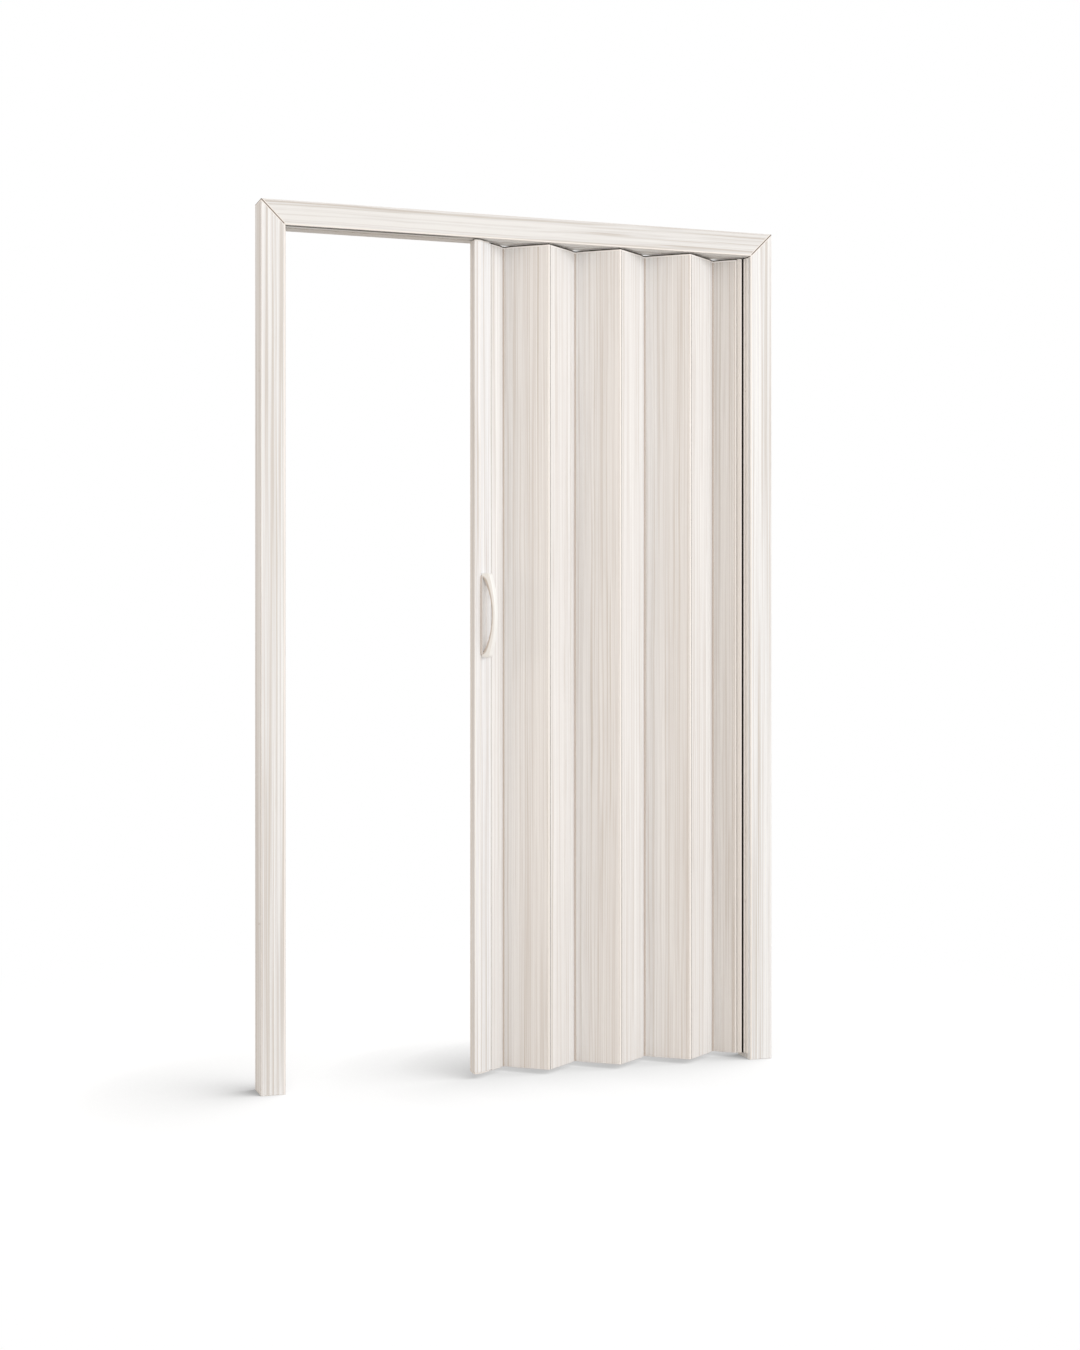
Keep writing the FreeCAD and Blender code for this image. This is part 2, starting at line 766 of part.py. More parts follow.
# Lead post: a closing bar with a slanted arm that goes on in line with the last half slat
def bar_corners():
    """The bar's corners and the arm's inner corner, from the front bevel round to the back one."""
    bevel = size.edge_bevel
    front = [(post_edge, bevel - post_front), (post_edge + bevel, -post_front), (arm_x, -post_front)]
    notch = size.arm_thickness / along[0] - post_front
    back = [(arm_x, notch), (arm_x, size.post_back), (post_edge + bevel, size.post_back),
            (post_edge, size.post_back - bevel)]
    return front, back


def post():
    body = doc.addObject("PartDesign::Body", "lead_post")
    groove = size.magnet_width / 2
    half = size.slat_thickness / 2
    open_from = -math.degrees(math.asin(2 * size.neck / socket_radius)) / 2
    meet = size.rest_angle - square_turn - math.degrees(math.acos(half / hook_radius))
    front, back = bar_corners()
    end = arm_point(arm_length - hook_radius, size.arm_thickness)
    lower = [Vector(x, y, 0) for x, y in front] + [polar(lead_x, hook_radius, meet)]
    seat = [(post_edge, groove), (post_edge + size.magnet_thickness, groove),
            (post_edge + size.magnet_thickness, -groove), (post_edge, -groove), front[0]]
    lip_out = polar(lead_x, hook_radius, open_from)
    lip_in = polar(lead_x, socket_radius, open_from)
    mouth_out = polar(lead_x, hook_radius, post_open_angle)
    mouth_in = polar(lead_x, socket_radius, post_open_angle)
    upper = [mouth_out] + [Vector(x, y, 0) for x, y in [end] + back + seat]
    edges = [Part.LineSegment(a, b) for a, b in zip(lower, lower[1:])]
    edges += [Part.LineSegment(a, b) for a, b in zip(upper, upper[1:])]
    edges += [
        arc(lead_x, hook_radius, meet, open_from),
        Part.LineSegment(lip_out, lip_in),
        arc(lead_x, socket_radius, post_open_angle, full_turn + open_from),
        Part.LineSegment(mouth_in, mouth_out),
    ]
    room = bar_room(0)
    wall = size.post_wall
    deep = size.arm_thickness - wall
    cell = loop([arm_point(size.arm_cell_start, wall), arm_point(size.arm_cell_end, wall),
                 arm_point(size.arm_cell_end, deep), arm_point(size.arm_cell_start, deep)])
    pad(body, "post_bar", "XY_Plane", edges + room + cell, "curtain_height - 2 * cap_thickness",
        offset=size.floor_gap + size.cap_thickness)
    bolts = body.newObject("PartDesign::Pocket", "post_bolt_holes")
    circles = [circle(size.handle_bolt_offset, size.handle_centre + end * size.handle_bolt_spacing / 2,
                      size.handle_bolt_radius + size.run_gap) for end in end_signs]
    seat_plane = Placement(Vector(handle_x, 0, -handle_y), Rotation(Vector(0, 1, 0), size.rest_angle))
    bolts.Profile = sketch(body, "post_bolt_hole_outline", "XZ_Plane", circles, seat_plane)
    bind(bolts, "Length", "2 * (arm_thickness + edge_bevel)")
    bolts.SideType = "Symmetric"
    keep(body, "lead_post")


def bar_room(gap):
    """The bar's chamber, or what fits in it with a gap all round."""
    near = size.post_wall - post_front + gap
    far = size.post_back - size.post_wall - gap
    return loop([(bar_cell_low + gap, near), (bar_cell_high - gap, near), (bar_cell_high - gap, far),
                 (bar_cell_low + gap, far)])


def post_cap(name, low, plug_low, bored):
    """Moulded cap over one end of the post, with a plug that fits the bar's chamber."""
    body = doc.addObject("PartDesign::Body", name)
    front, back = bar_corners()
    stop = arm_length - cup_radius - size.edge_bevel
    outline = front + [arm_point(stop, 0), arm_point(stop, size.arm_thickness)] + back
    pad(body, name + "_plate", "XY_Plane", loop(outline), "cap_thickness", offset=low)
    pad(body, name + "_plug", "XY_Plane", bar_room(size.slip_gap), "cap_plug", offset=plug_low)
    if bored:
        hole = body.newObject("PartDesign::Pocket", name + "_hole")
        edge = [circle(hanger_x, 0, size.hanger_bolt_radius + size.run_gap)]
        hole.Profile = sketch(body, name + "_hole_outline", "XY_Plane", edge, low)
        hole.Type = "ThroughAll"
        hole.SideType = "Symmetric"
    keep(body, name)


arm_length = arm_run * along[0] + post_front * along[1]
cap_seat = curtain_top - size.cap_thickness
post()
post_cap("post_cap_top", cap_seat, cap_seat - size.cap_plug, True)
post_cap("post_cap_bottom", size.floor_gap, size.floor_gap + size.cap_thickness, False)
keep(block("post_magnet", ("post_edge", "post_edge + magnet_thickness"),
           ("-magnet_width / 2", "magnet_width / 2"),
           ("floor_gap + cap_thickness", "curtain_top - cap_thickness")), "post_magnet")


# Handle: a long plate with a bow, on the slanted face of the lead post's arm
def rounded(x_low, x_high, y_low, y_high, radius):
    """A rectangle with round corners, as lines and arcs."""
    edges = []
    corners = [(x_high - radius, y_low + radius), (x_high - radius, y_high - radius),
               (x_low + radius, y_high - radius), (x_low + radius, y_low + radius)]
    for turn, (x, y) in enumerate(corners):
        points = []
        for share in (0, 1 / 2, 1):
            angle = math.radians((turn - 1 + share) * square_turn)
            points.append(Vector(x + radius * math.cos(angle), y + radius * math.sin(angle), 0))
        edges.append(Part.Arc(*points))
    ends = [edge.EndPoint for edge in edges]
    starts = [edge.StartPoint for edge in edges]
    edges += [Part.LineSegment(a, b) for a, b in zip(ends, starts[1:] + starts[:1])]
    return edges


def chamfered(x_low, x_high, y_low, y_high, cut_back):
    """A rectangle with its four corners cut off at 45 degrees."""
    return loop([(x_low + cut_back, y_low), (x_high - cut_back, y_low), (x_high, y_low + cut_back),
                 (x_high, y_high - cut_back), (x_high - cut_back, y_high), (x_low + cut_back, y_high),
                 (x_low, y_high - cut_back), (x_low, y_low + cut_back)])


def arch_radius(half):
    """Radius of the bow's outer curve, which drops from its full reach to that of its feet."""
    drop = size.handle_reach - size.handle_foot_reach
    return (half ** 2 + drop ** 2) / (2 * drop)


def bow_side(half, middle):
    """The bow seen from its side: a flat arch on two feet with round outer corners."""
    outer = arch_radius(half)
    axis = outer - size.handle_reach
    corner = size.handle_foot_round
    corner_z = half - corner
    corner_y = axis - math.sqrt((outer - corner) ** 2 - corner_z ** 2)
    lean = math.atan2(corner_z, axis - corner_y)
    swing = (math.pi / 2 + lean) / 2
    foot = half - size.handle_foot_length
    under = size.handle_reach - size.handle_thickness

    def at(y, z):
        return Vector(y, middle + z, 0)

    def end_arc(sign):
        bend = at(corner_y - corner * math.cos(swing), sign * (corner_z + corner * math.sin(swing)))
        meet = at(axis - outer * math.cos(lean), sign * outer * math.sin(lean))
        return at(corner_y, sign * half), bend, meet

    top, top_bend, top_meet = end_arc(1)
    low, low_bend, low_meet = end_arc(-1)
    seat_top = [at(-size.handle_plate, foot), at(0, foot), at(0, half), top]
    seat_low = [low, at(0, -half), at(0, -foot), at(-size.handle_plate, -foot)]
    edges = [Part.LineSegment(a, b) for side in (seat_top, seat_low) for a, b in zip(side, side[1:])]
    edges += [
        Part.Arc(top, top_bend, top_meet),
        Part.Arc(top_meet, at(-size.handle_reach, 0), low_meet),
        Part.Arc(low_meet, low_bend, low),
        Part.Arc(seat_low[-1], at(-under, 0), seat_top[0]),
    ]
    return edges


def handle():
    """Drawn with its seat on the plane Y = 0, then turned on to the slanted face."""
    body = doc.addObject("PartDesign::Body", "handle_front")
    half = size.handle_height / 2
    middle = size.handle_centre
    reach = half - size.handle_plate_inset
    plate = rounded(-size.handle_width / 2, size.handle_width / 2, middle - reach, middle + reach,
                    size.handle_corner)
    pad(body, "handle_plate", "XZ_Plane", plate, "handle_plate", True, size.handle_plate / 2)
    bow = pad(body, "handle_bow", "YZ_Plane", bow_side(half, middle), "grip_width", True)
    doc.recompute()
    arch = arch_radius(half)
    edges = [f"Edge{number}" for number, edge in enumerate(bow.Shape.Edges, start=1)
             if isinstance(edge.Curve, Part.Circle) and abs(edge.Curve.Radius - arch) < size.slip_gap]
    softened = body.newObject("PartDesign::Fillet", "handle_bow_round")
    softened.Base = (bow, edges)
    bind(softened, "Radius", "grip_round")
    holes = body.newObject("PartDesign::Pocket", "handle_holes")
    circles = [circle(size.handle_bolt_offset, middle + end * size.handle_bolt_spacing / 2,
                      size.handle_bolt_radius + size.run_gap) for end in end_signs]
    holes.Profile = sketch(body, "handle_hole_outline", "XZ_Plane", circles)
    bind(holes, "Length", "3 * handle_plate / 2")
    holes.SideType = "Symmetric"
    body.Placement = Placement(Vector(handle_x, handle_y, 0), Rotation(Vector(0, 0, 1), size.rest_angle))
    keep(body, "handle_front")


def handle_bolts():
    forward = Vector(*outward, 0)
    pieces = []
    for end in end_signs:
        height = f"handle_centre + {end} * handle_bolt_spacing / 2"
        pieces.append(screw(f"handle_bolt_{len(pieces)}", "handle_bolt_radius", "handle_bolt_head_radius",
                            ("bolt_x", "bolt_y", height),
                            "arm_thickness + 3 * handle_plate / 4 - slip_gap", "handle_bolt_head", forward))
    keep(group("handle_bolts", pieces), "handle_bolts")


handle()
handle_bolts()


# Hangers: a glider on every other slat, with a pin down into an insert in the slat's middle cell
def hanger(number):
    x = f"anchor_x - {number} * step_x"
    down = Vector(0, 0, -1)
    length = "glider_length / 2"
    width = "glider_width / 2"
    shoe = block(f"glider_{number}_shoe", (f"{x} - {length}", f"{x} + {length}"),
                 (f"-{width}", width), ("glider_floor", "glider_top"))
    neck = rod(f"glider_{number}_neck", "glider_neck_radius", (x, "0", "glider_floor"),
               "glider_floor - soffit", down)
    bore = rod(f"glider_{number}_bore", "pin_radius + run_gap", (x, "0", "glider_top + cut_overrun"),
               "glider_top - curtain_top + 2 * cut_overrun", down)
    solid = fused(f"glider_{number}_solid", [shoe, neck])
    keep(cut(f"glider_{number}", solid, [bore]), f"glider_{number}")
    pin = screw(f"hanger_pin_{number}", "pin_radius", "pin_head_radius", (x, "0", "glider_top + slip_gap"),
                "glider_top + slip_gap - curtain_top + pin_depth", "pin_head", down)
    keep(pin, f"hanger_pin_{number}")
    # the insert lies along its slat, so it is drawn about the slat's middle and turned with it
    thick = size.slat_thickness / 2 - size.slat_wall - size.slip_gap / 2
    half = cell_width / 2 - size.slip_gap
    body = doc.addObject("PartDesign::Body", f"hanger_insert_{number}")
    outline = loop([(-half, -thick), (half, -thick), (half, thick), (-half, thick)])
    bore_edge = [circle(0, 0, size.pin_radius + size.run_gap)]
    pad(body, f"hanger_insert_{number}_bar", "XY_Plane", outline + bore_edge, "insert_height")
    place_x = anchor_x - number * step_x
    turn = Rotation(Vector(0, 0, 1), 180 + size.rest_angle)
    body.Placement = Placement(Vector(place_x, 0, curtain_top - size.insert_height), turn)
    keep(body, f"hanger_insert_{number}")


for number in range(1, slat_count + 1, 2):
    hanger(number)


# Trolley over the lead post: a body with two wheel sets, hung on to the post by one bolt
def trolley():
    half = "trolley_length / 2"
    wide = "trolley_width / 2"
    x = "trolley_x"
    box = block("trolley_block", (f"{x} - {half}", f"{x} + {half}"), (f"-{wide}", wide),
                ("trolley_floor", "trolley_top"))
    down = Vector(0, 0, -1)
    forward = Vector(0, -1, 0)
    holes = [rod("trolley_bolt_bore", "hanger_bolt_radius + run_gap",
                 ("hanger_x", "0", "trolley_top + cut_overrun"), "trolley_height + 2 * cut_overrun", down)]
    for end, word in ((-1, "leading"), (1, "trailing")):
        start = (f"{x} + {end} * trolley_axle_spread / 2", f"{wide} + cut_overrun", "wheel_z")
        holes.append(rod(f"trolley_{word}_bore", "axle_radius + run_gap", start,
                         "trolley_width + 2 * cut_overrun", forward))
    keep(cut("trolley", box, holes), "trolley")
    for end, word in ((-1, "leading"), (1, "trailing")):
        axle_x = f"{x} + {end} * trolley_axle_spread / 2"
        inner = "trolley_width / 2 + wheel_gap"
        outer = f"{inner} + wheel_width"
        axle = rod(f"wheels_{word}_axle", "axle_radius", (axle_x, f"{outer} + wheel_gap", "wheel_z"),
                   f"2 * ({outer} + wheel_gap)", forward)
        rim = "wheel_radius - slip_gap"
        back = rod(f"wheels_{word}_back", rim, (axle_x, outer, "wheel_z"), "wheel_width", forward)
        front = rod(f"wheels_{word}_front", rim, (axle_x, f"-({inner})", "wheel_z"), "wheel_width", forward)
        keep(fused(f"wheels_{word}", [axle, back, front]), f"wheels_{word}")
    bolt = screw("hanger_bolt", "hanger_bolt_radius", "hanger_bolt_head_radius",
                 ("hanger_x", "0", "trolley_top"), "trolley_top - curtain_top + hanger_bolt_depth",
                 "hanger_bolt_head", down)
    keep(bolt, "hanger_bolt")
    body = doc.addObject("PartDesign::Body", "post_hanger")
    bore = [circle(hanger_x, 0, size.hanger_bolt_radius + size.run_gap)]
    under = curtain_top - size.cap_thickness - size.cap_plug - size.hanger_block_height - size.slip_gap
    edges = bar_room(size.slip_gap) + bore
    pad(body, "post_hanger_bar", "XY_Plane", edges, "hanger_block_height", offset=under)
    keep(body, "post_hanger")


trolley()


# Every feature has to be sound before anything is written
doc.recompute()
for thing in doc.Objects:
    if "Invalid" in thing.State or "Error" in thing.State:
        raise RuntimeError(f"{thing.Name} is not sound: {thing.State}")
for node in nodes:
    if node.Shape.isNull() or not node.Shape.isValid() or node.Shape.Volume <= 0:
        raise RuntimeError(f"{node.Label} has no sound shape")

os.makedirs("parts", exist_ok=True)
for node in nodes:
    node.Shape.exportStep(f"parts/{node.Label}.step")
    print(node.Label, len(node.Shape.Solids), round(node.Shape.Volume))
print(len(nodes), "nodes; lead axis at X", round(lead_x, 2), "post edge", round(post_edge, 2))
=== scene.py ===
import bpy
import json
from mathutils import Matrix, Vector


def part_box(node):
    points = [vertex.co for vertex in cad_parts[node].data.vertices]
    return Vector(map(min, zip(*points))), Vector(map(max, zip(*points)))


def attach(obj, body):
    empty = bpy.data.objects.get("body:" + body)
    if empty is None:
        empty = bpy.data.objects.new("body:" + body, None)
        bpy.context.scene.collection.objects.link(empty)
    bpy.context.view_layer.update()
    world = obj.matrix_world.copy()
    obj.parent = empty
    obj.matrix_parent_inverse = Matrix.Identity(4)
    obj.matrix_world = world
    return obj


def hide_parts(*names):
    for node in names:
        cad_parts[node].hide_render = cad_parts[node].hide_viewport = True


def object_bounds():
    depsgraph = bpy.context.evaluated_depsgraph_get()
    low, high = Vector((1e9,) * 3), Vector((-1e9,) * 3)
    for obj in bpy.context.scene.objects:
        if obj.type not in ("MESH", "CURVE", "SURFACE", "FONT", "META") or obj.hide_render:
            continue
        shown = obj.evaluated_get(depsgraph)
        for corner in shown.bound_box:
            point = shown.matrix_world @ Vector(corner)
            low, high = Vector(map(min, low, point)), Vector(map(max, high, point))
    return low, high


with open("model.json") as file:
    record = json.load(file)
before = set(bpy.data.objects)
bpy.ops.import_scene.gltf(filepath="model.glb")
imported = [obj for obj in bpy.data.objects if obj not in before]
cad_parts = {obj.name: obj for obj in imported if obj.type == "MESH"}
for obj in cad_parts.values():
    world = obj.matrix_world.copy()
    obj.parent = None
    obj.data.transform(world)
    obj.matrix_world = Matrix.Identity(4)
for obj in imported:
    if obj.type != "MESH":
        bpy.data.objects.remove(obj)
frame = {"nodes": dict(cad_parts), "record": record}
cad_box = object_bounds()
print("door box", cad_box)

# %% [markdown]
# The curtain folds, so its pieces move in groups, and the record says which piece belongs to
# which group. A new piece can then ride along with the piece that it dresses.
# bpy makes objects and materials, bmesh builds a mesh point by point, and Vector holds a place.
# %% Modules and moving groups
import json
import math

import bmesh
import bpy
from mathutils import Vector

scene = bpy.context.scene
groups = frame["record"]["behaviour"]["bodies"]
body_of_node = {node: body for body, names in groups.items() for node in names}
print(len(frame["nodes"]), "pieces in", len(groups), "moving groups")

# %% [markdown]
# The camera stands where the photographer stood.
# Eye place, heading and focal length come from fitting the frame's corners and the fold lines
# to the photograph; the horizon lies above its middle, which is a small downward shift.
# %% Set up the camera
photo_width = 1080
photo_height = 1350
focal_pixels = 1970.4
horizon_row = 636.4
heading = math.radians(18.541)
eye = Vector((-1.5015, -4.6044, 1.0755))
sensor_mm = 36

camera_data = bpy.data.cameras.new("camera")
camera_data.sensor_fit = "AUTO"
camera_data.sensor_width = sensor_mm
camera_data.lens = focal_pixels / max(photo_width, photo_height) * sensor_mm
camera_data.shift_y = (horizon_row - photo_height / 2) / max(photo_width, photo_height)
camera = bpy.data.objects.new("camera", camera_data)
camera.location = eye
camera.rotation_euler = (math.radians(90), 0, -heading)
scene.collection.objects.link(camera)
scene.camera = camera
print("lens", round(camera_data.lens, 2), "mm, shift", round(camera_data.shift_y, 4))

# %% [markdown]
# The light is a soft studio: a pale sky all round, one large soft box well off at the right,
# a weaker one straight ahead and a faint one at the left. The right one makes the faces that
# look right paler than the faces that look left, which is what shows the pleats.
# The sky and the left box are warm and the right box is slightly cool, so the shaded faces turn
# warmer than the lit ones. All boxes stand far off, so that both jambs get nearly the same light.
# %% Light the studio
warm_white = (1.0, 0.88, 0.775)
cool_white = (0.94, 0.97, 1.0)
plain_white = (1, 1, 1)
target = Vector((0.0, 0.0, 1.0))
soft_boxes = {
    "key": {"place": Vector((7.4, -6.9, 4.2)), "width": 4.2, "power": 322, "color": cool_white},
    "front": {"place": Vector((-0.8, -7.0, 2.0)), "width": 3.0, "power": 90, "color": plain_white},
    "side": {"place": Vector((-6.0, -1.5, 1.8)), "width": 3.0, "power": 34, "color": warm_white},
}

for name, box in soft_boxes.items():
    data = bpy.data.lights.new(name, "AREA")
    data.color = box["color"]
    data.shape = "SQUARE"
    data.size = box["width"]
    data.energy = box["power"]
    lamp = bpy.data.objects.new(name, data)
    lamp.location = box["place"]
    lamp.rotation_euler = (target - box["place"]).to_track_quat("-Z", "Y").to_euler()
    scene.collection.objects.link(lamp)
    print("soft box", name, box["power"], "W")

# %% [markdown]
# Materials and the background are trees of nodes joined by links. A few helpers keep the trees
# short to write: one adds a node and sets it up, and one gives a socket what it needs, be it a
# link, a colour or a number. The others are the sums and steps that masks are made of.
# A mask here is a signal that is 1 where something shows and 0 elsewhere.
# %% Helpers for node trees
def add_node(tree, kind, **settings):
    node = tree.nodes.new(kind)
    for key, value in settings.items():
        setattr(node, key, value)
    return node


def feed(tree, socket, value):
    """Links an output to a socket, or sets the socket to a colour or a number."""
    if isinstance(value, bpy.types.NodeSocket):
        tree.links.new(value, socket)
    elif isinstance(value, tuple):
        socket.default_value = (*value, 1)
    else:
        socket.default_value = value


def math_node(tree, operation, *values, clamp=False):
    node = add_node(tree, "ShaderNodeMath", operation=operation, use_clamp=clamp)
    for socket, value in zip(node.inputs, values):
        feed(tree, socket, value)
    return node.outputs[0]


def plus(tree, first, second):
    return math_node(tree, "ADD", first, second)


def minus(tree, first, second):
    return math_node(tree, "SUBTRACT", first, second)


def times(tree, first, second):
    return math_node(tree, "MULTIPLY", first, second)


def size_of(tree, value):
    """The value without its sign."""
    return math_node(tree, "ABSOLUTE", value)


def opposite(tree, mask):
    """1 where the mask is 0, and 0 where it is 1."""
    return minus(tree, 1.0, mask)


def any_of(tree, *masks):
    """The largest of several masks."""
    total = masks[0]
    for mask in masks[1:]:
        total = math_node(tree, "MAXIMUM", total, mask)
    return total


def step(tree, value, start, end):
    """0 before start and 1 after end, with a smooth rise between; end may be the smaller."""
    node = add_node(tree, "ShaderNodeMapRange", interpolation_type="SMOOTHSTEP")
    node.inputs["From Min"].default_value = start
    node.inputs["From Max"].default_value = end
    tree.links.new(value, node.inputs["Value"])
    return node.outputs[0]


def parts_of(tree, vector):
    """The three numbers of a place or a direction, by the names X, Y and Z."""
    node = add_node(tree, "ShaderNodeSeparateXYZ")
    tree.links.new(vector, node.inputs[0])
    return node.outputs


print("node helpers ready")

# %% [markdown]
# The background is white for the camera and for reflections, while the light that the sky
# gives to the door stays at its own lower strength. Light Path tells the two apart.
# %% Make the white surroundings
sky_strength = 0.68
white_strength = 1.0


def seen_directly(tree):
    """1 on rays from the eye, a mirror or a pane, 0 on rays that carry light to the door."""
    path = add_node(tree, "ShaderNodeLightPath")
    rays = [path.outputs[word] for word in ("Is Camera Ray", "Is Glossy Ray", "Is Transmission Ray")]
    return any_of(tree, *rays)


def background(tree, color, strength):
    node = add_node(tree, "ShaderNodeBackground")
    feed(tree, node.inputs["Color"], color)
    feed(tree, node.inputs["Strength"], strength)
    return node.outputs[0]


world = bpy.data.worlds.new("studio")
scene.world = world
world.use_nodes = True
sky = world.node_tree
sky.nodes.clear()
choose = add_node(sky, "ShaderNodeMixShader")
sky.links.new(seen_directly(sky), choose.inputs[0])
sky.links.new(background(sky, warm_white, sky_strength), choose.inputs[1])
sky.links.new(background(sky, plain_white, white_strength), choose.inputs[2])
sky.links.new(choose.outputs[0], add_node(sky, "ShaderNodeOutputWorld").inputs[0])
print("sky", sky_strength)

# %% [markdown]
# The floor is a plain sheet, wide enough that its edges stay out of sight. Its finish depends on
# how far a point lies from the door: near_share is 1 close by and fades to 0 further off.
# %% Lay the floor
floor_reach = 14.0
fade_start = 1.0
fade_end = 2.2

mesh = bpy.data.meshes.new("floor")
corners = [(-floor_reach, -floor_reach, 0), (floor_reach, -floor_reach, 0),
           (floor_reach, floor_reach, 0), (-floor_reach, floor_reach, 0)]
mesh.from_pydata(corners, [], [(0, 1, 2, 3)])
floor = bpy.data.objects.new("floor", mesh)
scene.collection.objects.link(floor)

paint = bpy.data.materials.new("floor_white")
mesh.materials.append(paint)
paint.use_nodes = True
tree = paint.node_tree
tree.nodes.clear()
away = add_node(tree, "ShaderNodeVectorMath", operation="LENGTH")
tree.links.new(add_node(tree, "ShaderNodeTexCoord").outputs["Object"], away.inputs[0])
near_share = opposite(tree, step(tree, away.outputs["Value"], fade_start, fade_end))
print("floor", floor_reach * 2, "m wide")

# %% [markdown]
# The floor glows a plain white, so that no horizon shows, and near the door a small share of it
# is a real matte surface, so that the door keeps a soft shadow.
# The lamps alone leave the foot of each upright without the closer shadow that it has in the
# photograph, at its left, so that shadow is painted into the floor's glow. A shadow painted in
# one fixed place would not follow the curtain; this painted shadow does, since Ambient Occlusion
# with a tilted normal finds it: it looks for nearby surfaces on the key lamp's side of every
# point of the floor, and the glow is dimmed by what it finds.
# %% Shade the floor
floor_tone = (0.65, 0.61, 0.565)
floor_shade = 0.06
near_lift = 0.045
contact_reach = 0.42
contact_depth = 1.2
contact_samples = 16
contact_side = Vector((0.80, -0.52, 0.30)).normalized()

painted_contact_shadow = add_node(tree, "ShaderNodeAmbientOcclusion", samples=contact_samples)
painted_contact_shadow.inputs["Distance"].default_value = contact_reach
tilt = add_node(tree, "ShaderNodeCombineXYZ")
for socket, value in zip(tilt.inputs, contact_side):
    socket.default_value = value
tree.links.new(tilt.outputs[0], painted_contact_shadow.inputs["Normal"])
hidden = times(tree, opposite(tree, painted_contact_shadow.outputs["AO"]), contact_depth)
lift = plus(tree, times(tree, near_share, near_lift), 1.0)
glow = add_node(tree, "ShaderNodeEmission")
feed(tree, glow.inputs["Strength"], minus(tree, lift, times(tree, near_share, hidden)))
matte = add_node(tree, "ShaderNodeBsdfDiffuse")
feed(tree, matte.inputs["Color"], floor_tone)
glow_share = times(tree, opposite(tree, times(tree, near_share, floor_shade)), seen_directly(tree))
blend = add_node(tree, "ShaderNodeMixShader")
feed(tree, blend.inputs[0], glow_share)
tree.links.new(matte.outputs[0], blend.inputs[1])
tree.links.new(glow.outputs[0], blend.inputs[2])
tree.links.new(blend.outputs[0], add_node(tree, "ShaderNodeOutputMaterial").inputs[0])
print("contact shadow reaches", contact_reach, "m")

# %% [markdown]
# Every finish of the door is built in the same few moves: noise that is long in one direction
# gives grain or brushing, a colour ramp turns it into tones, and one colour after another is
# coated over it where a mask allows. At the end some of the noise is pressed in as relief and
# varies the gloss. The noise is laid out in the door's own space, so it needs no picture.
# %% Helpers for finishes
noise_roughness = 0.55


def start_material(name):
    """A new material, with its tree, its shader and the place of each point on the door."""
    material = bpy.data.materials.new(name)
    material.use_nodes = True
    tree = material.node_tree
    place = add_node(tree, "ShaderNodeTexCoord").outputs["Object"]
    return material, tree, tree.nodes["Principled BSDF"], place


def stretched(tree, coordinate, run, across, along):
    """The coordinate scaled so that noise in it is long in the direction of the run."""
    scale = [across, across, across]
    scale["XYZ".index(run)] = along
    mapping = add_node(tree, "ShaderNodeMapping")
    mapping.inputs["Scale"].default_value = scale
    tree.links.new(coordinate, mapping.inputs["Vector"])
    return mapping.outputs[0]


def noise(tree, coordinate, detail):
    node = add_node(tree, "ShaderNodeTexNoise")
    node.inputs["Scale"].default_value = 1.0
    node.inputs["Detail"].default_value = detail
    node.inputs["Roughness"].default_value = noise_roughness
    tree.links.new(coordinate, node.inputs["Vector"])
    return node.outputs["Fac"]


def ramp(tree, factor, stops):
    node = add_node(tree, "ShaderNodeValToRGB")
    elements = node.color_ramp.elements
    while len(elements) < len(stops):
        elements.new(0.5)
    for element, (place, color) in zip(elements, stops):
        element.position = place
        element.color = (*color, 1)
    tree.links.new(factor, node.inputs[0])
    return node.outputs[0]


def coat(tree, under, mask, color, share=1.0):
    """Lays a colour over what is under it, where the mask allows and up to the share given."""
    if share < 1.0:
        mask = times(tree, mask, share)
    node = add_node(tree, "ShaderNodeMix", data_type="RGBA")
    factor_socket, under_socket, color_socket = node.inputs[0], node.inputs[6], node.inputs[7]
    feed(tree, factor_socket, mask)
    feed(tree, under_socket, under)
    feed(tree, color_socket, color)
    return node.outputs[2]


def press_relief(tree, shader, height, rounded, strength, distance):
    """Presses a height into the surface, over its rounded edges."""
    relief = add_node(tree, "ShaderNodeBump")
    relief.inputs["Strength"].default_value = strength
    relief.inputs["Distance"].default_value = distance
    tree.links.new(height, relief.inputs["Height"])
    tree.links.new(rounded, relief.inputs["Normal"])
    tree.links.new(relief.outputs[0], shader.inputs["Normal"])


def vary_gloss(tree, shader, signal, start, end):
    """Lets the roughness go from start to end as the signal goes from 0 to 1."""
    gloss = add_node(tree, "ShaderNodeMapRange")
    gloss.inputs["To Min"].default_value = start
    gloss.inputs["To Max"].default_value = end
    tree.links.new(signal, gloss.inputs["Value"])
    tree.links.new(gloss.outputs[0], shader.inputs["Roughness"])


print("finish helpers ready")

# %% [markdown]
# A printed film on a plastic profile is not the same all over here: edges are painted pale, partly as
# wear and partly as a painted highlight, corners between two pieces get a painted brown shade, and
# the cut ends show white plastic. Such places could be painted one by one, but masks read from the
# shape find them all, also when a size changes. Bevel gives a rounded normal, and the pale edge
# is where it leaves the flat one. Ambient Occlusion says how much nearby surfaces hide, which
# sets the painted shade. The way a face looks tells ends, fronts and the crests of the folds,
# where a painted highlight runs. Each pair of numbers says where a mask starts and where it is full.
# %% Masks read from the shape
bevel_samples = 4
crevice_samples = 12
worn_and_highlit_turn = (0.9985, 0.97)
end_turn = (0.85, 0.95)
front_turn = (0.80, 0.95)
down_turn = (-0.85, -0.95)
crest_highlight_turn = (0.90, 0.97)
mark_step = (0.5, 0.8)


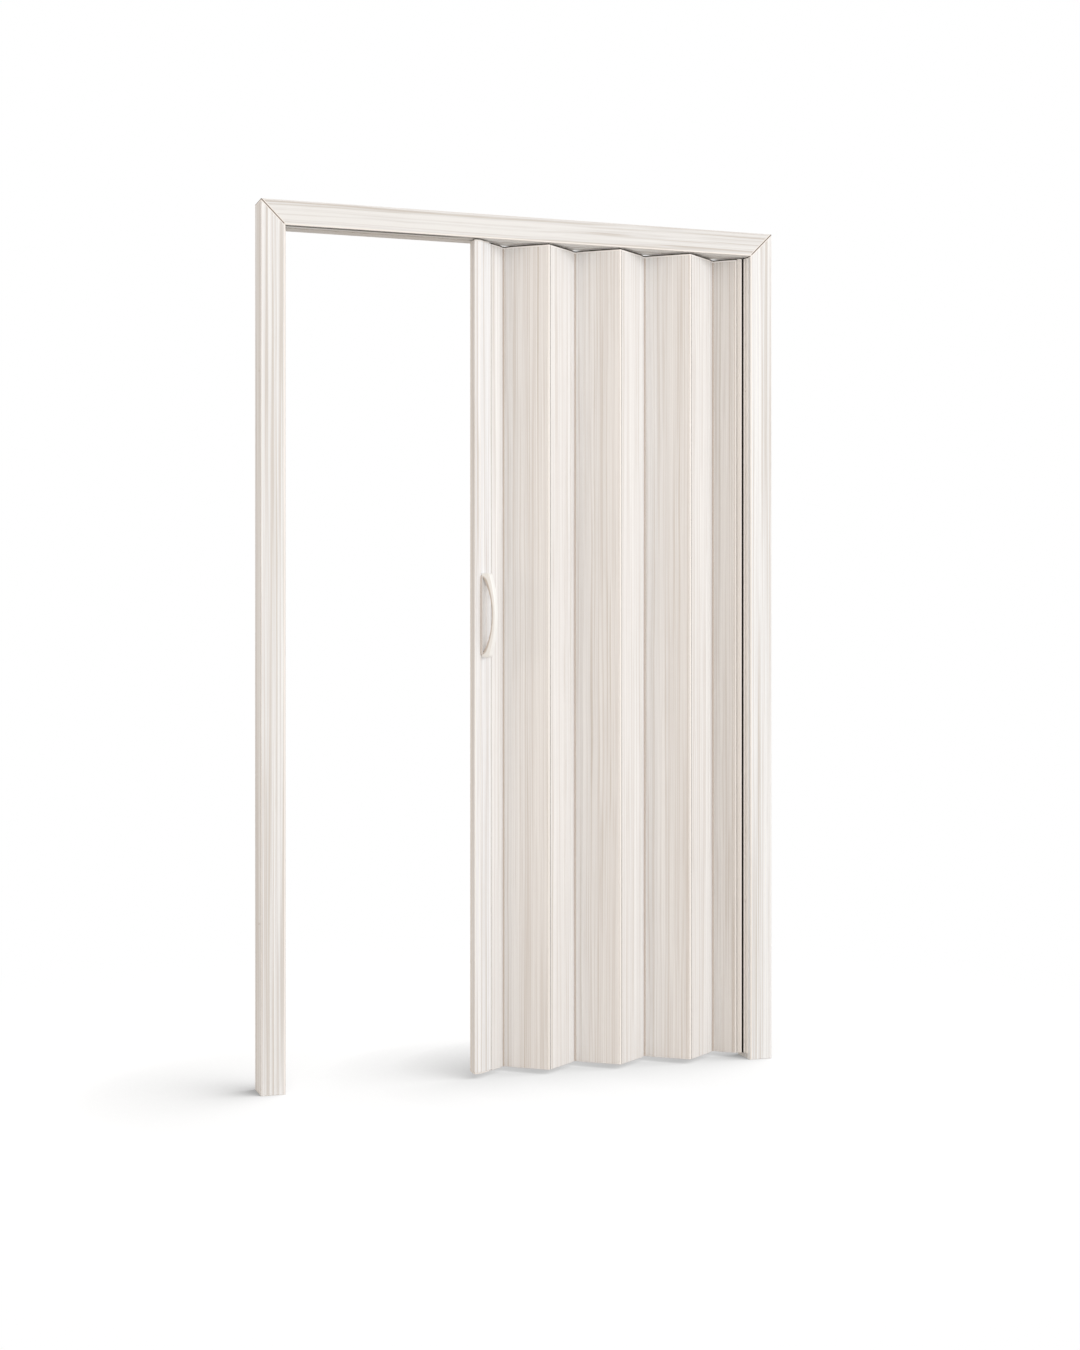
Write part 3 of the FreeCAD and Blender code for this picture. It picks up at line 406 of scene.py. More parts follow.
def worn_and_highlit_edges(tree, radius):
    """A rounded normal, and a mask that is 1 along the rounded edges, which are painted pale as wear and
    as a painted highlight.
    """
    rounded = add_node(tree, "ShaderNodeBevel", samples=bevel_samples)
    rounded.inputs["Radius"].default_value = radius
    flat = add_node(tree, "ShaderNodeNewGeometry")
    dot = add_node(tree, "ShaderNodeVectorMath", operation="DOT_PRODUCT")
    tree.links.new(rounded.outputs[0], dot.inputs[0])
    tree.links.new(flat.outputs["Normal"], dot.inputs[1])
    return rounded.outputs[0], step(tree, dot.outputs["Value"], *worn_and_highlit_turn)


def crevices(tree, reach, alone=False):
    """How much is hidden by surfaces close by: the piece's own alone, or those of any piece."""
    near = add_node(tree, "ShaderNodeAmbientOcclusion", samples=crevice_samples, only_local=alone)
    near.inputs["Distance"].default_value = reach
    return opposite(tree, near.outputs["AO"])


def above(tree, value, start, gain):
    """0 up to start, then rising by gain up to 1."""
    return math_node(tree, "MULTIPLY", minus(tree, value, start), gain, clamp=True)


def marked_shade(tree):
    """1 along the sides that a mesh marks as shaded in its own layer."""
    mark = add_node(tree, "ShaderNodeAttribute", attribute_name="shade")
    return step(tree, mark.outputs["Fac"], *mark_step)


def looks_along(tree, axis):
    """How squarely a face looks along an axis: 1 or -1 straight along it, and 0 across it."""
    return parts_of(tree, add_node(tree, "ShaderNodeNewGeometry").outputs["True Normal"])[axis]


def cut_ends(tree):
    """1 on faces that look straight up or down."""
    return step(tree, size_of(tree, looks_along(tree, "Z")), *end_turn)


def front_faces(tree):
    """1 on faces that look straight to the front or back."""
    return step(tree, size_of(tree, looks_along(tree, "Y")), *front_turn)


def crest_highlight(tree):
    """1 where a rounded fold looks straight to the front or back of the door, for a painted highlight.
    """
    smooth_normal = add_node(tree, "ShaderNodeTexCoord").outputs["Normal"]
    return step(tree, size_of(tree, parts_of(tree, smooth_normal)["Y"]), *crest_highlight_turn)


print("shape masks ready")

# %% [markdown]
# Some thin lines finish the joints of the door. The frame is sawn through at 45 degrees in both
# upper corners, with a dark joint line along the cut and a painted highlight on both sides of it.
# A painted highlight runs along the edge of the opening as a pale rim. A painted shadow line lies
# behind the front edge of the header's underside, which shows where no slat stands under it.
# Ambient Occlusion gave these lines too soft and too grainy, so each one is a distance from a
# known place that is turned into a mask.
# %% Lines on the frame
half_width = cad_box[1][0]
door_height = cad_box[1][2]
header_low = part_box("header")[0]
opening_top = header_low[2]
opening_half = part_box("jamb_right")[0][0]
soffit_line_depth = 0.009
soffit_line_y = header_low[1] + soffit_line_depth
soffit_line_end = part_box("lead_post")[1][0]
soffit_line_fade = 0.15
soffit_line_width = (0.0078, 0.0062)
inner_highlight_width = (0.004, 0.003)
mitre_highlight = (0.0050, 0.0040)
mitre_cut = (0.0024, 0.0014)


def distance_from(tree, value, spot):
    return size_of(tree, minus(tree, value, spot))


def mitre_distance(tree, place):
    """How far a place is from the cut that runs through both upper corners at 45 degrees."""
    parts = parts_of(tree, place)
    inset = minus(tree, half_width, size_of(tree, parts["X"]))
    drop = minus(tree, door_height, parts["Z"])
    return distance_from(tree, inset, drop)


def inner_edge_highlight(tree, place, run):
    """1 on the frame's front along its inner edge, where a pale rim is painted as a highlight."""
    parts = parts_of(tree, place)
    if run == "X":
        past = minus(tree, parts["Z"], opening_top)
    else:
        past = minus(tree, size_of(tree, parts["X"]), opening_half)
    return times(tree, step(tree, past, *inner_highlight_width), front_faces(tree))


def soffit_shadow_line(tree, place):
    """1 on the painted shadow line behind the front edge of the header's underside."""
    parts = parts_of(tree, place)
    on_line = step(tree, distance_from(tree, parts["Y"], soffit_line_y), *soffit_line_width)
    underside = step(tree, looks_along(tree, "Z"), *down_turn)
    open_side = step(tree, parts["X"], soffit_line_end, soffit_line_end - soffit_line_fade)
    return times(tree, times(tree, on_line, underside), open_side)


print("opening", round(opening_half * 2, 3), "m wide and", round(opening_top, 3), "m high")

# %% [markdown]
# The slats have thin lines of their own: a painted shade line down each inner fold, where one slat
# hooks on to the next, and at their top a painted highlight as a pale rim under a painted black
# shadow for the gap below the header.
# The inner folds are where the record puts the hinges behind the door's middle plane.
# Each line belongs to a place on the slat as drawn, and moves with the slat.
# %% Lines on the slats
joints = frame["record"]["behaviour"]["joints"]
valleys = [joint["pos_m"][0] for joint in joints
           if joint["name"].startswith("fold_") and joint["pos_m"][1] > 0]
slat_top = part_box("slat_1")[1][2]
fold_shade_width = (0.0014, 0.0008)
top_highlight_drop = (0.0066, 0.0060)
top_shadow_drop = (0.0032, 0.0026)


def fold_shade_lines(tree, place):
    """1 on the thin painted shade lines that run down the inner folds of the front."""
    x = parts_of(tree, place)["X"]
    return any_of(tree, *[step(tree, distance_from(tree, x, valley), *fold_shade_width) for valley in valleys])


def top_highlight_and_shadow(tree, place):
    """Two masks for the top of a slat: a painted highlight as its pale rim, and a painted shadow for the
    gap above, on upright faces.
    """
    z = parts_of(tree, place)["Z"]
    drop = minus(tree, slat_top, z)
    rim = step(tree, drop, *top_highlight_drop)
    painted_top_shadow = step(tree, drop, *top_shadow_drop)
    return rim, times(tree, painted_top_shadow, opposite(tree, cut_ends(tree)))


print(len(valleys), "inner folds, slats", round(slat_top, 3), "m high")

# %% [markdown]
# The profiles wear a printed film that looks like pale ash: long fine streaks along the
# length, broader bands of tone, and short darker pores.
# A printed picture could do this, but noise stretched along one axis does it without one,
# and because it is laid out in the door's own space no two profiles show the same piece.
# Each layer of noise is given by its waves per metre across and along the run. A slow noise
# pushes the others sideways, so that the streaks sway as real grain does.
# %% Grain of the film
film_dark = (0.69, 0.665, 0.64)
film_middle = (0.846, 0.858, 0.872)
film_pale = (0.93, 0.95, 0.965)
sway_waves = (12, 2.6)
line_waves = (330, 0.8)
streak_waves = (150, 0.9)
band_waves = (34, 0.6)
pore_waves = (700, 14)
fine_weight = 0.44
band_weight = 0.12
dark_spread = 0.12
pale_spread = 0.10
pore_step = (0.60, 0.74)
pore_share = 0.25


def swayed(tree, place, run, sway):
    """The place pushed about by a slow noise."""
    slow = add_node(tree, "ShaderNodeTexNoise")
    slow.inputs["Scale"].default_value = 1.0
    tree.links.new(stretched(tree, place, run, *sway_waves), slow.inputs["Vector"])
    push = add_node(tree, "ShaderNodeVectorMath", operation="SCALE")
    tree.links.new(slow.outputs["Color"], push.inputs[0])
    push.inputs["Scale"].default_value = sway
    moved = add_node(tree, "ShaderNodeVectorMath", operation="ADD")
    tree.links.new(place, moved.inputs[0])
    tree.links.new(push.outputs[0], moved.inputs[1])
    return moved.outputs[0]


def grain_tone(tree, place, run, sway, spread):
    """Fine lines, streaks and broad bands, added up to one tone around a half."""
    figure = swayed(tree, place, run, sway)
    across, along = line_waves
    lines = noise(tree, stretched(tree, figure, run, across / spread, along), detail=1)
    across, along = streak_waves
    streaks = noise(tree, stretched(tree, figure, run, across / spread, along), detail=2)
    bands = noise(tree, stretched(tree, figure, run, *band_waves), detail=1)
    fine = plus(tree, times(tree, lines, fine_weight), times(tree, streaks, fine_weight))
    return plus(tree, fine, times(tree, bands, band_weight))


def pore_mask(tree, place, run):
    return step(tree, noise(tree, stretched(tree, place, run, *pore_waves), detail=2), *pore_step)


def film_color(tree, tone, pores, contrast, tint):
    """The film's three shades, tinted and laid along the tone, with darker pores."""
    places = (0.5 - dark_spread / contrast, 0.5, 0.5 + pale_spread / contrast)
    shades = [tuple(a * b for a, b in zip(shade, tint)) for shade in (film_dark, film_middle, film_pale)]
    film = ramp(tree, tone, list(zip(places, shades)))
    return coat(tree, film, pores, film_dark, pore_share)


print("grain ready")

# %% [markdown]
# The film is coated from the broad to the fine: the grain first, then pale edges, partly wear and
# partly painted highlight, a painted highlight on fold crests and white ends, then painted brown
# shade in corners and painted black shadow in open gaps, and the thin lines last.
# Some of the grain is pressed in as a shallow relief and makes the film a little more or less
# glossy, as embossed film is.
# %% Woodgrain film
# Plastic white for cut ends, also used as painted highlight; painted brown shade; a dark joint line;
# painted black shadow.
core_white_and_highlight = (0.98, 0.98, 0.975)
painted_shade_brown = (0.40, 0.31, 0.24)
joint_dark = (0.16, 0.12, 0.09)
painted_shadow_black = (0.03, 0.024, 0.02)
corner_reach = 0.007
corner_shade_gain = 3.2
corner_shade_share = 0.8
shadow_gap_gain = 5.0
mark_share = 0.7
fold_shade_share = 0.8
mitre_share = 0.85
soffit_shadow_share = 0.95
pore_press = 0.3
film_relief = 0.3
film_relief_depth = 0.0002
film_roughness = (0.62, 0.48)
film_specular = 0.3


def line_work(tree, film, place, run, folded, mitred):
    """Coats the thin lines of a slat, of a mitred profile or of the header over its film."""
    if folded:
        rim, painted_top_shadow = top_highlight_and_shadow(tree, place)
        film = coat(tree, film, fold_shade_lines(tree, place), painted_shade_brown, fold_shade_share)
        film = coat(tree, film, rim, core_white_and_highlight)
        film = coat(tree, film, painted_top_shadow, painted_shadow_black)
    if mitred:
        off_cut = mitre_distance(tree, place)
        film = coat(tree, film, step(tree, off_cut, *mitre_highlight), core_white_and_highlight)
        film = coat(tree, film, step(tree, off_cut, *mitre_cut), joint_dark, mitre_share)
        film = coat(tree, film, inner_edge_highlight(tree, place, run), core_white_and_highlight)
    if run == "X":
        film = coat(tree, film, soffit_shadow_line(tree, place), painted_shadow_black, soffit_shadow_share)
    return film


def woodgrain(name, run, sway, contrast, spread=1.0, tint=plain_white, edge_radius=0.0022,
              corner_shade_start=0.2, shadow_gap_start=0.55, folded=False, mitred=False, alone=False):
    material, tree, shader, place = start_material(name)
    tone = grain_tone(tree, place, run, sway, spread)
    pores = pore_mask(tree, place, run)
    film = film_color(tree, tone, pores, contrast, tint)
    # Pale edges, partly wear and partly painted highlight, then a painted highlight on fold crests, then
    # white plastic on cut ends.
    rounded, edges = worn_and_highlit_edges(tree, edge_radius)
    film = coat(tree, film, edges, core_white_and_highlight)
    if folded:
        film = coat(tree, film, crest_highlight(tree), core_white_and_highlight)
    if run == "Z":
        film = coat(tree, film, cut_ends(tree), core_white_and_highlight)
    # Painted shade: corners hidden by nearby surfaces turn brown, the most hidden turn black as painted
    # shadow, and sides marked as shade turn brown.
    hidden = crevices(tree, corner_reach, alone)
    film = coat(tree, film, above(tree, hidden, corner_shade_start, corner_shade_gain), painted_shade_brown, corner_shade_share)
    film = coat(tree, film, above(tree, hidden, shadow_gap_start, shadow_gap_gain), painted_shadow_black)
    film = coat(tree, film, marked_shade(tree), painted_shade_brown, mark_share)
    film = line_work(tree, film, place, run, folded, mitred)
    tree.links.new(film, shader.inputs["Base Color"])
    height = minus(tree, tone, times(tree, pores, pore_press))
    press_relief(tree, shader, height, rounded, film_relief, film_relief_depth)
    vary_gloss(tree, shader, tone, *film_roughness)
    shader.inputs["Specular IOR Level"].default_value = film_specular
    return material


print("film recipe ready")

# %% [markdown]
# Five films share the recipe. Each has the run, sway and contrast of its own profile. The slats
# wear the film as it is; the others have a tint, since in the photograph they read a little
# darker, whiter or warmer than the slats do. The corner film is the slat film with painted shade,
# a darker copy for the last half slat in the corner of the right jamb. The frame has rounder
# edges and coarser streaks. On the jambs the painted shade in corners comes only from the piece's
# own corners, not from the places where others touch it.
# %% The five films
frame_edge = 0.0035
frame_film = woodgrain("frame_film", run="Z", sway=0.004, contrast=1.2, spread=1.25,
                       tint=(1.01, 1.04, 1.065), edge_radius=frame_edge, mitred=True, alone=True)
header_film = woodgrain("header_film", run="X", sway=0.011, contrast=1.2, spread=1.5,
                        tint=(0.93, 0.95, 0.96), edge_radius=frame_edge,
                        corner_shade_start=0.55, shadow_gap_start=0.75, mitred=True)
slat_film = woodgrain("slat_film", run="Z", sway=0.006, contrast=0.75, folded=True)
# Painted shade: a darker copy of the slat film for the half slat in the corner.
shaded_corner_film = woodgrain("shaded_corner_film", run="Z", sway=0.006, contrast=0.75,
                        tint=(0.915, 0.90, 0.885), folded=True)
post_film = woodgrain("post_film", run="Z", sway=0.005, contrast=1.0,
                      tint=(1.035, 1.06, 1.09), corner_shade_start=0.6, shadow_gap_start=0.92)
print("films made")

# %% [markdown]
# Smooth mouldings, nylon and metal need less: a slow cloud of tone, a fine orange-peel or
# brushed relief, and paler edges, partly where hands and machines have rubbed them and partly a
# painted highlight. Where a moulding meets another piece a painted shade can be asked for in the
# gap, and the anchor channel has a groove in its nose: painted black shadow inside, with a
# painted highlight as a pale lip on both sides.
# The groove is painted wider than it is, so that it reads as strongly as in the photograph.
# %% Plain plastics and metals
cloud_waves = (9, 5)
cloud_weight = 0.7
peel_weight = 0.3
cloud_places = (0.35, 0.65)
brushed_length = 30
moulding_edge = 0.0007
worn_and_highlit_gain = 1.12
worn_and_highlit_lift = 0.02
worn_and_highlit_share = 0.6
seam_shade_gain = 4.0
groove_highlight = (0.0036, 0.0032)
groove_shadow = (0.0013, 0.0010)
moulding_relief = 0.2
moulding_relief_depth = 0.0001
gloss_swing = 0.06


def grooved(tree, body, place, groove):
    """Coats a painted highlight as a pale lip and a painted black shadow in a groove, given by its two
    sides in X.
    """
    half = (groove[1] - groove[0]) / 2
    off = distance_from(tree, parts_of(tree, place)["X"], (groove[0] + groove[1]) / 2)
    body = coat(tree, body, step(tree, off, *[half + more for more in groove_highlight]), core_white_and_highlight)
    return coat(tree, body, step(tree, off, *[half + more for more in groove_shadow]), painted_shadow_black)


def moulding(name, color, roughness, grain, cloud, metal=0.0, run=None,
             seam_shade_color=None, seam_shade_reach=0.012, shadow_gap_start=0.5, groove=None):
    material, tree, shader, place = start_material(name)
    slow = noise(tree, stretched(tree, place, "Z", *cloud_waves), detail=2)
    length = brushed_length if run else 1
    fine = noise(tree, stretched(tree, place, run or "Z", grain, grain / length), detail=3)
    darker = tuple(channel * (1 - cloud) for channel in color)
    lighter = tuple(min(1.0, channel * (1 + cloud / 2)) for channel in color)
    worn_and_highlit = tuple(min(1.0, channel * worn_and_highlit_gain + worn_and_highlit_lift) for channel in color)
    tone = plus(tree, times(tree, slow, cloud_weight), times(tree, fine, peel_weight))
    body = ramp(tree, tone, list(zip(cloud_places, (darker, lighter))))
    # Pale edges, partly wear and partly painted highlight; then painted shade in seams and on sides
    # marked as shade.
    rounded, edges = worn_and_highlit_edges(tree, moulding_edge)
    body = coat(tree, body, edges, worn_and_highlit, worn_and_highlit_share)
    if seam_shade_color:
        seam_shade = above(tree, crevices(tree, seam_shade_reach), shadow_gap_start, seam_shade_gain)
        body = coat(tree, body, seam_shade, seam_shade_color)
        body = coat(tree, body, marked_shade(tree), seam_shade_color)
    if groove:
        body = grooved(tree, body, place, groove)
    tree.links.new(body, shader.inputs["Base Color"])
    press_relief(tree, shader, fine, rounded, moulding_relief, moulding_relief_depth)
    vary_gloss(tree, shader, fine, roughness - gloss_swing, roughness + gloss_swing)
    shader.inputs["Metallic"].default_value = metal
    return material


print("moulding recipe ready")

# %% [markdown]
# Each finish is kept under the name of the record's slot, so that a piece finds its own.
# Two pieces differ from their slot: the anchor channel shows its groove with painted shadow, and
# the last half slat, which stands in the corner of the right jamb, wears the film with painted shade.
# %% Finishes by slot
wall_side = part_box("anchor_channel")[1][0]
groove_from_wall = (0.0107, 0.0074)
anchor_groove = tuple(wall_side - inward for inward in groove_from_wall)
finishes = {
    "frame_grain": frame_film,
    "header_grain": header_film,
    "slat_grain": slat_film,
    "post_grain": post_film,
    "white_trim": moulding("trim_plastic", (0.88, 0.875, 0.86), roughness=0.45, grain=900,
                           cloud=0.04, seam_shade_color=painted_shadow_black),
    "handle_white": moulding("handle_plastic", (0.94, 0.98, 1.0), roughness=0.34, grain=1400,
                             cloud=0.01, seam_shade_color=(0.60, 0.555, 0.51), seam_shade_reach=0.03,
                             shadow_gap_start=0.7),
    "grey_moulding": moulding("grey_plastic", (0.40, 0.41, 0.42), roughness=0.55, grain=700,
                              cloud=0.08),
    "white_nylon": moulding("nylon", (0.78, 0.77, 0.74), roughness=0.42, grain=800, cloud=0.05),
    "magnet_black": moulding("magnet_rubber", (0.025, 0.025, 0.027), roughness=0.6, grain=1200,
                             cloud=0.2),
    "track_metal": moulding("track_aluminium", (0.72, 0.73, 0.74), roughness=0.38, grain=1500,
                            cloud=0.05, metal=1.0, run="X"),
    "zinc_steel": moulding("zinc_steel", (0.62, 0.63, 0.65), roughness=0.33, grain=1100,
                           cloud=0.08, metal=1.0),
}
own_finishes = {
    "anchor_channel": moulding("anchor_plastic", (0.90, 0.895, 0.88), roughness=0.45, grain=900,
                               cloud=0.04, groove=anchor_groove),
    "slat_anchor": shaded_corner_film,
}
print(len(finishes), "finishes by slot and", len(own_finishes), "by piece")

# %% [markdown]
# A mesh shows the material that its slot holds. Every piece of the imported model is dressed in
# one loop, so that none is forgotten.
# %% Dress every carried-over piece
slot_of_node = {part["node"]: part["material_slot"] for part in frame["record"]["subparts"]}
for node, piece in frame["nodes"].items():
    for slot in piece.material_slots:
        slot.material = own_finishes.get(node, finishes[slot_of_node[node]])
print("dressed", len(frame["nodes"]), "pieces")

# %% [markdown]
# The pull handle is one moulding: a long plate with round corners, and a flat arch on two
# stout feet. The solid model has its true size but crisp inner edges; here the arch is laid
# out as a row of rounded rectangles, so that its section is soft all the way round.
# The handle stands on the slanted face of the lead post, so its places are given along three
# directions of its own: along the face, outward from it and upward.
# %% Places on the handle
slant = math.radians(37.43)
along = Vector((math.cos(slant), math.sin(slant), 0))
outward = Vector((math.sin(slant), -math.cos(slant), 0))
upward = Vector((0, 0, 1))


def reach_of(node, direction):
    """Lowest and highest place of a piece along a direction."""
    piece = frame["nodes"][node]
    places = [(piece.matrix_world @ vertex.co).dot(direction) for vertex in piece.data.vertices]
    return min(places), max(places)


left, right = reach_of("handle_front", along)
seat, front = reach_of("handle_front", outward)
bottom, top = reach_of("handle_front", upward)
handle_middle = along * (left + right) / 2 + outward * seat + upward * (bottom + top) / 2
handle_half = (top - bottom) / 2
plate_half = (right - left) / 2
bow_reach = front - seat
print("handle", round(handle_half * 2, 4), "m tall, reaches", round(bow_reach, 4), "m")

# %% [markdown]
# Most new pieces start as rings of points. Skinning one ring to the next gives a mesh of
# four-sided faces, which bends light more evenly than a cut-out solid does. Each piece then
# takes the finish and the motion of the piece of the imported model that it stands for.
# %% Helpers for new pieces
def join_rings(bm, rings, capped=True):
    """Skins a row of point rings, and closes both ends if they are to be capped."""
    rows = [[bm.verts.new(point) for point in ring] for ring in rings]
    for first, second in zip(rows, rows[1:]):
        for number in range(len(first)):
            after = (number + 1) % len(first)
            bm.faces.new((first[number], first[after], second[after], second[number]))
    if capped:
        bm.faces.new(rows[0])
        bm.faces.new(rows[-1])
    return rows


def make_piece(name, bm, node, smooth=True):
    """A finished mesh that rides, and takes its finish, as the named CAD piece does."""
    bmesh.ops.recalc_face_normals(bm, faces=bm.faces)
    for face in bm.faces:
        face.smooth = smooth
    data = bpy.data.meshes.new(name)
    bm.to_mesh(data)
    bm.free()
    piece = bpy.data.objects.new(name, data)
    scene.collection.objects.link(piece)
    data.materials.append(finishes[slot_of_node[node]])
    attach(piece, body_of_node[node])
    return piece


print("piece helpers ready")

# %% [markdown]
# Seen from the side, the arch lies between two curves. The outer one rises straight from the
# plate, turns over a round shoulder and then follows one large circle; the inner one leaves
# the stout feet and follows a tighter circle. Both are laid out as reach and height.
# %% Curves of the arch
bow_thickness = 0.009
foot_reach = 0.022
foot_length = 0.011
foot_round = 0.008
plate_thickness = 0.004
shoulder_steps = 8
arch_steps = 40


def turn(centre, radius, start, end, count):
    """Points of an arc in the handle's side view, as reach and height; angle 0 looks outward."""
    angles = [start + (end - start) * number / count for number in range(count + 1)]
    return [Vector((centre[0] + radius * math.cos(a), centre[1] + radius * math.sin(a))) for a in angles]


def outer_curve():
    drop = bow_reach - foot_reach
    radius = (handle_half ** 2 + drop ** 2) / (2 * drop)
    centre = (bow_reach - radius, 0)
    corner_height = handle_half - foot_round
    corner_reach = centre[0] + math.sqrt((radius - foot_round) ** 2 - corner_height ** 2)
    lean = math.atan2(corner_height, corner_reach - centre[0])
    upper = turn((corner_reach, corner_height), foot_round, math.pi / 2, lean, shoulder_steps)
    lower = [Vector((point.x, -point.y)) for point in reversed(upper)]
    middle = turn(centre, radius, lean, -lean, arch_steps)[1:-1]
    return [Vector((0, handle_half))] + upper + middle + lower + [Vector((0, -handle_half))]


def inner_curve():
    half = handle_half - foot_length
    rise = bow_reach - bow_thickness - plate_thickness
    radius = (half ** 2 + rise ** 2) / (2 * rise)
    centre = (plate_thickness + rise - radius, 0)
    lean = math.asin(half / radius)
    return [Vector((0, half))] + turn(centre, radius, lean, -lean, arch_steps) + [Vector((0, -half))]


print("arch", bow_thickness, "m thick on feet", foot_reach, "m tall")

# %% [markdown]
# Both curves are divided into the same number of stations, and at each station a rounded
# rectangle spans from the inner curve to the outer one. Its outer corners are rounder than its
# inner ones. The points of the inner side are marked in a layer named shade: in the photograph
# that side is darker than the light alone makes it, and the finish reads the mark.
# %% Arch of the handle
grip_half = 0.0075
outer_round = 0.003
inner_round = 0.0014
corner_steps = 4
stations = 72


def evenly(points, count):
    """The same curve as count points at even distances."""
    lengths = [0.0]
    for a, b in zip(points, points[1:]):
        lengths.append(lengths[-1] + (b - a).length)
    even = []
    for number in range(count):
        goal = lengths[-1] * number / (count - 1)
        spot = min(max(sum(length < goal for length in lengths), 1), len(points) - 1)
        share = (goal - lengths[spot - 1]) / (lengths[spot] - lengths[spot - 1])
        even.append(points[spot - 1].lerp(points[spot], share))
    return even


def corner_angles(corner, steps):
    """Angles from one quarter of a turn to the next, for the corner with that number."""
    return [math.radians(corner * 90 + number * 90 / steps) for number in range(steps + 1)]


def soft_section(inner, outer):
    """A rounded rectangle from the inner to the outer curve, as points in the door's space."""
    depth = (outer - inner).length
    outer_corners = [(1, 1, outer_round), (-1, 1, outer_round)]
    inner_corners = [(-1, 0, inner_round), (1, 0, inner_round)]
    points = []
    for corner, (side, end, radius) in enumerate(outer_corners + inner_corners):
        for angle in corner_angles(corner, corner_steps):
            across = side * (grip_half - radius) + radius * math.cos(angle)
            deep = end * depth + (1 - 2 * end) * radius + radius * math.sin(angle)
            spot = inner.lerp(outer, deep / depth)
            points.append(handle_middle + along * across + outward * spot.x + upward * spot.y)
    return points


bm = bmesh.new()
shade = bm.verts.layers.float.new("shade")
pairs = zip(evenly(inner_curve(), stations), evenly(outer_curve(), stations))
first_inner_point = 2 * (corner_steps + 1)
for ring in join_rings(bm, [soft_section(inner, outer) for inner, outer in pairs]):
    for vertex in ring[first_inner_point:]:
        vertex[shade] = 1.0
bow = make_piece("handle_bow", bm, "handle_front")
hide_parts("handle_front")
print("arch", len(bow.data.polygons), "faces")

# %% [markdown]
# The plate under the arch wears the same film as the post, which is how it reads in the
# photograph: grain shows between the arch and the plate's thin dark outline.
# It is a long rectangle with round corners, drawn in four steps up to a soft rim. The two
# lower rings are marked as shade, which gives the dark outline.
# %% Plate of the handle
plate_inset = 0.005
plate_corner = 0.006
plate_rim = 0.0012
plate_rim_soft = 0.00035
plate_corner_steps = 6


def plate_ring(depth, inset):
    """The plate's outline at one depth, drawn in by the inset."""
    points = []
    tall = handle_half - plate_inset
    radius = plate_corner - inset
    for corner, (side, end) in enumerate(((1, 1), (-1, 1), (-1, -1), (1, -1))):
        for angle in corner_angles(corner, plate_corner_steps):
            across = side * (plate_half - plate_corner) + radius * math.cos(angle)
            rise = end * (tall - plate_corner) + radius * math.sin(angle)
            points.append(handle_middle + along * across + outward * depth + upward * rise)
    return points


bm = bmesh.new()
shade = bm.verts.layers.float.new("shade")
rings = [plate_ring(0, 0),
         plate_ring(plate_thickness - plate_rim, 0),
         plate_ring(plate_thickness - plate_rim_soft, plate_rim_soft),
         plate_ring(plate_thickness, plate_rim)]
base_ring, side_ring = join_rings(bm, rings)[:2]
for vertex in base_ring + side_ring:
    vertex[shade] = 1.0
plate = make_piece("handle_plate", bm, "handle_front", smooth=False)
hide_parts("handle_front")
plate.data.materials[0] = finishes["post_grain"]
print("plate", round(plate_half * 2, 4), "m wide")

# %% [markdown]
# Every screw is turned from a profile: a soft-edged head with a pressed cross and a shank
# with a short point. Its place, radius and length are read from the piece that it stands for.
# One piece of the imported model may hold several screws, so it is first taken apart: from any
# point, all points that edges lead to belong to the same screw.
# %% Measure the screws
same_place = 1e-6
same_level = 1e-5
widest_share = 0.97


def loose_pieces(piece):
    """The separate solids of one carried-over piece, each as a list of places."""
    bm = bmesh.new()
    bm.from_mesh(piece.data)
    bmesh.ops.remove_doubles(bm, verts=bm.verts, dist=same_place)
    seen = set()
    found = []
    for start in bm.verts:
        if start in seen:
            continue
        seen.add(start)
        solid = [start]
        for vertex in solid:
            others = [link.other_vert(vertex) for link in vertex.link_edges]
            fresh = [other for other in others if other not in seen]
            seen.update(fresh)
            solid.extend(fresh)
        found.append([piece.matrix_world @ vertex.co for vertex in solid])
    bm.free()
    return found


def screw_measures(places, axis):
    """Foot, head radius, shank radius, and the heights of tip, head's underside and head's top."""
    heights = [place.dot(axis) for place in places]
    head_top = max(heights)
    tip = min(heights)
    top_ring = [place for place, height in zip(places, heights) if height > head_top - same_level]
    foot = sum(top_ring, Vector()) / len(top_ring) - axis * head_top
    from_axis = [(place - foot - axis * height).length for place, height in zip(places, heights)]
    head_radius = max(from_axis)
    spots = list(zip(from_axis, heights))
    shank_radius = max(radius for radius, height in spots if height < tip + same_level)
    under = min(height for radius, height in spots if radius > head_radius * widest_share)
    return foot, head_radius, shank_radius, tip, under, head_top


print("screw measures ready")

# %% [markdown]
# A threaded shank would be hidden in its hole, so the shank stays plain and only the head gets
# its detail. The profile runs from the tip up to the head's flat top. All its numbers are
# shares of what was measured: of a radius, of the head's height or of its soft edge.
# %% Profile of a screw
point_radius = 0.25
point_length = 1.5
head_soft = 0.3
head_profile = ((0.98, 0.0), (1.0, 0.5))
top_profile = ((1.0, 1.0), (0.97, 0.35), (0.88, 0.0))


def screw_profile(head_radius, shank_radius, tip, under, head_top):
    """Radius and height of each ring of a screw, from its tip to its flat top."""
    soft = (head_top - under) * head_soft
    shank = [(shank_radius * point_radius, tip),
             (shank_radius, tip + shank_radius * point_length),
             (shank_radius, under)]
    head = [(head_radius * share, under + soft * up) for share, up in head_profile]
    crown = [(head_radius * share, head_top - soft * down) for share, down in top_profile]
    return shank + head + crown


print("screw profile ready")

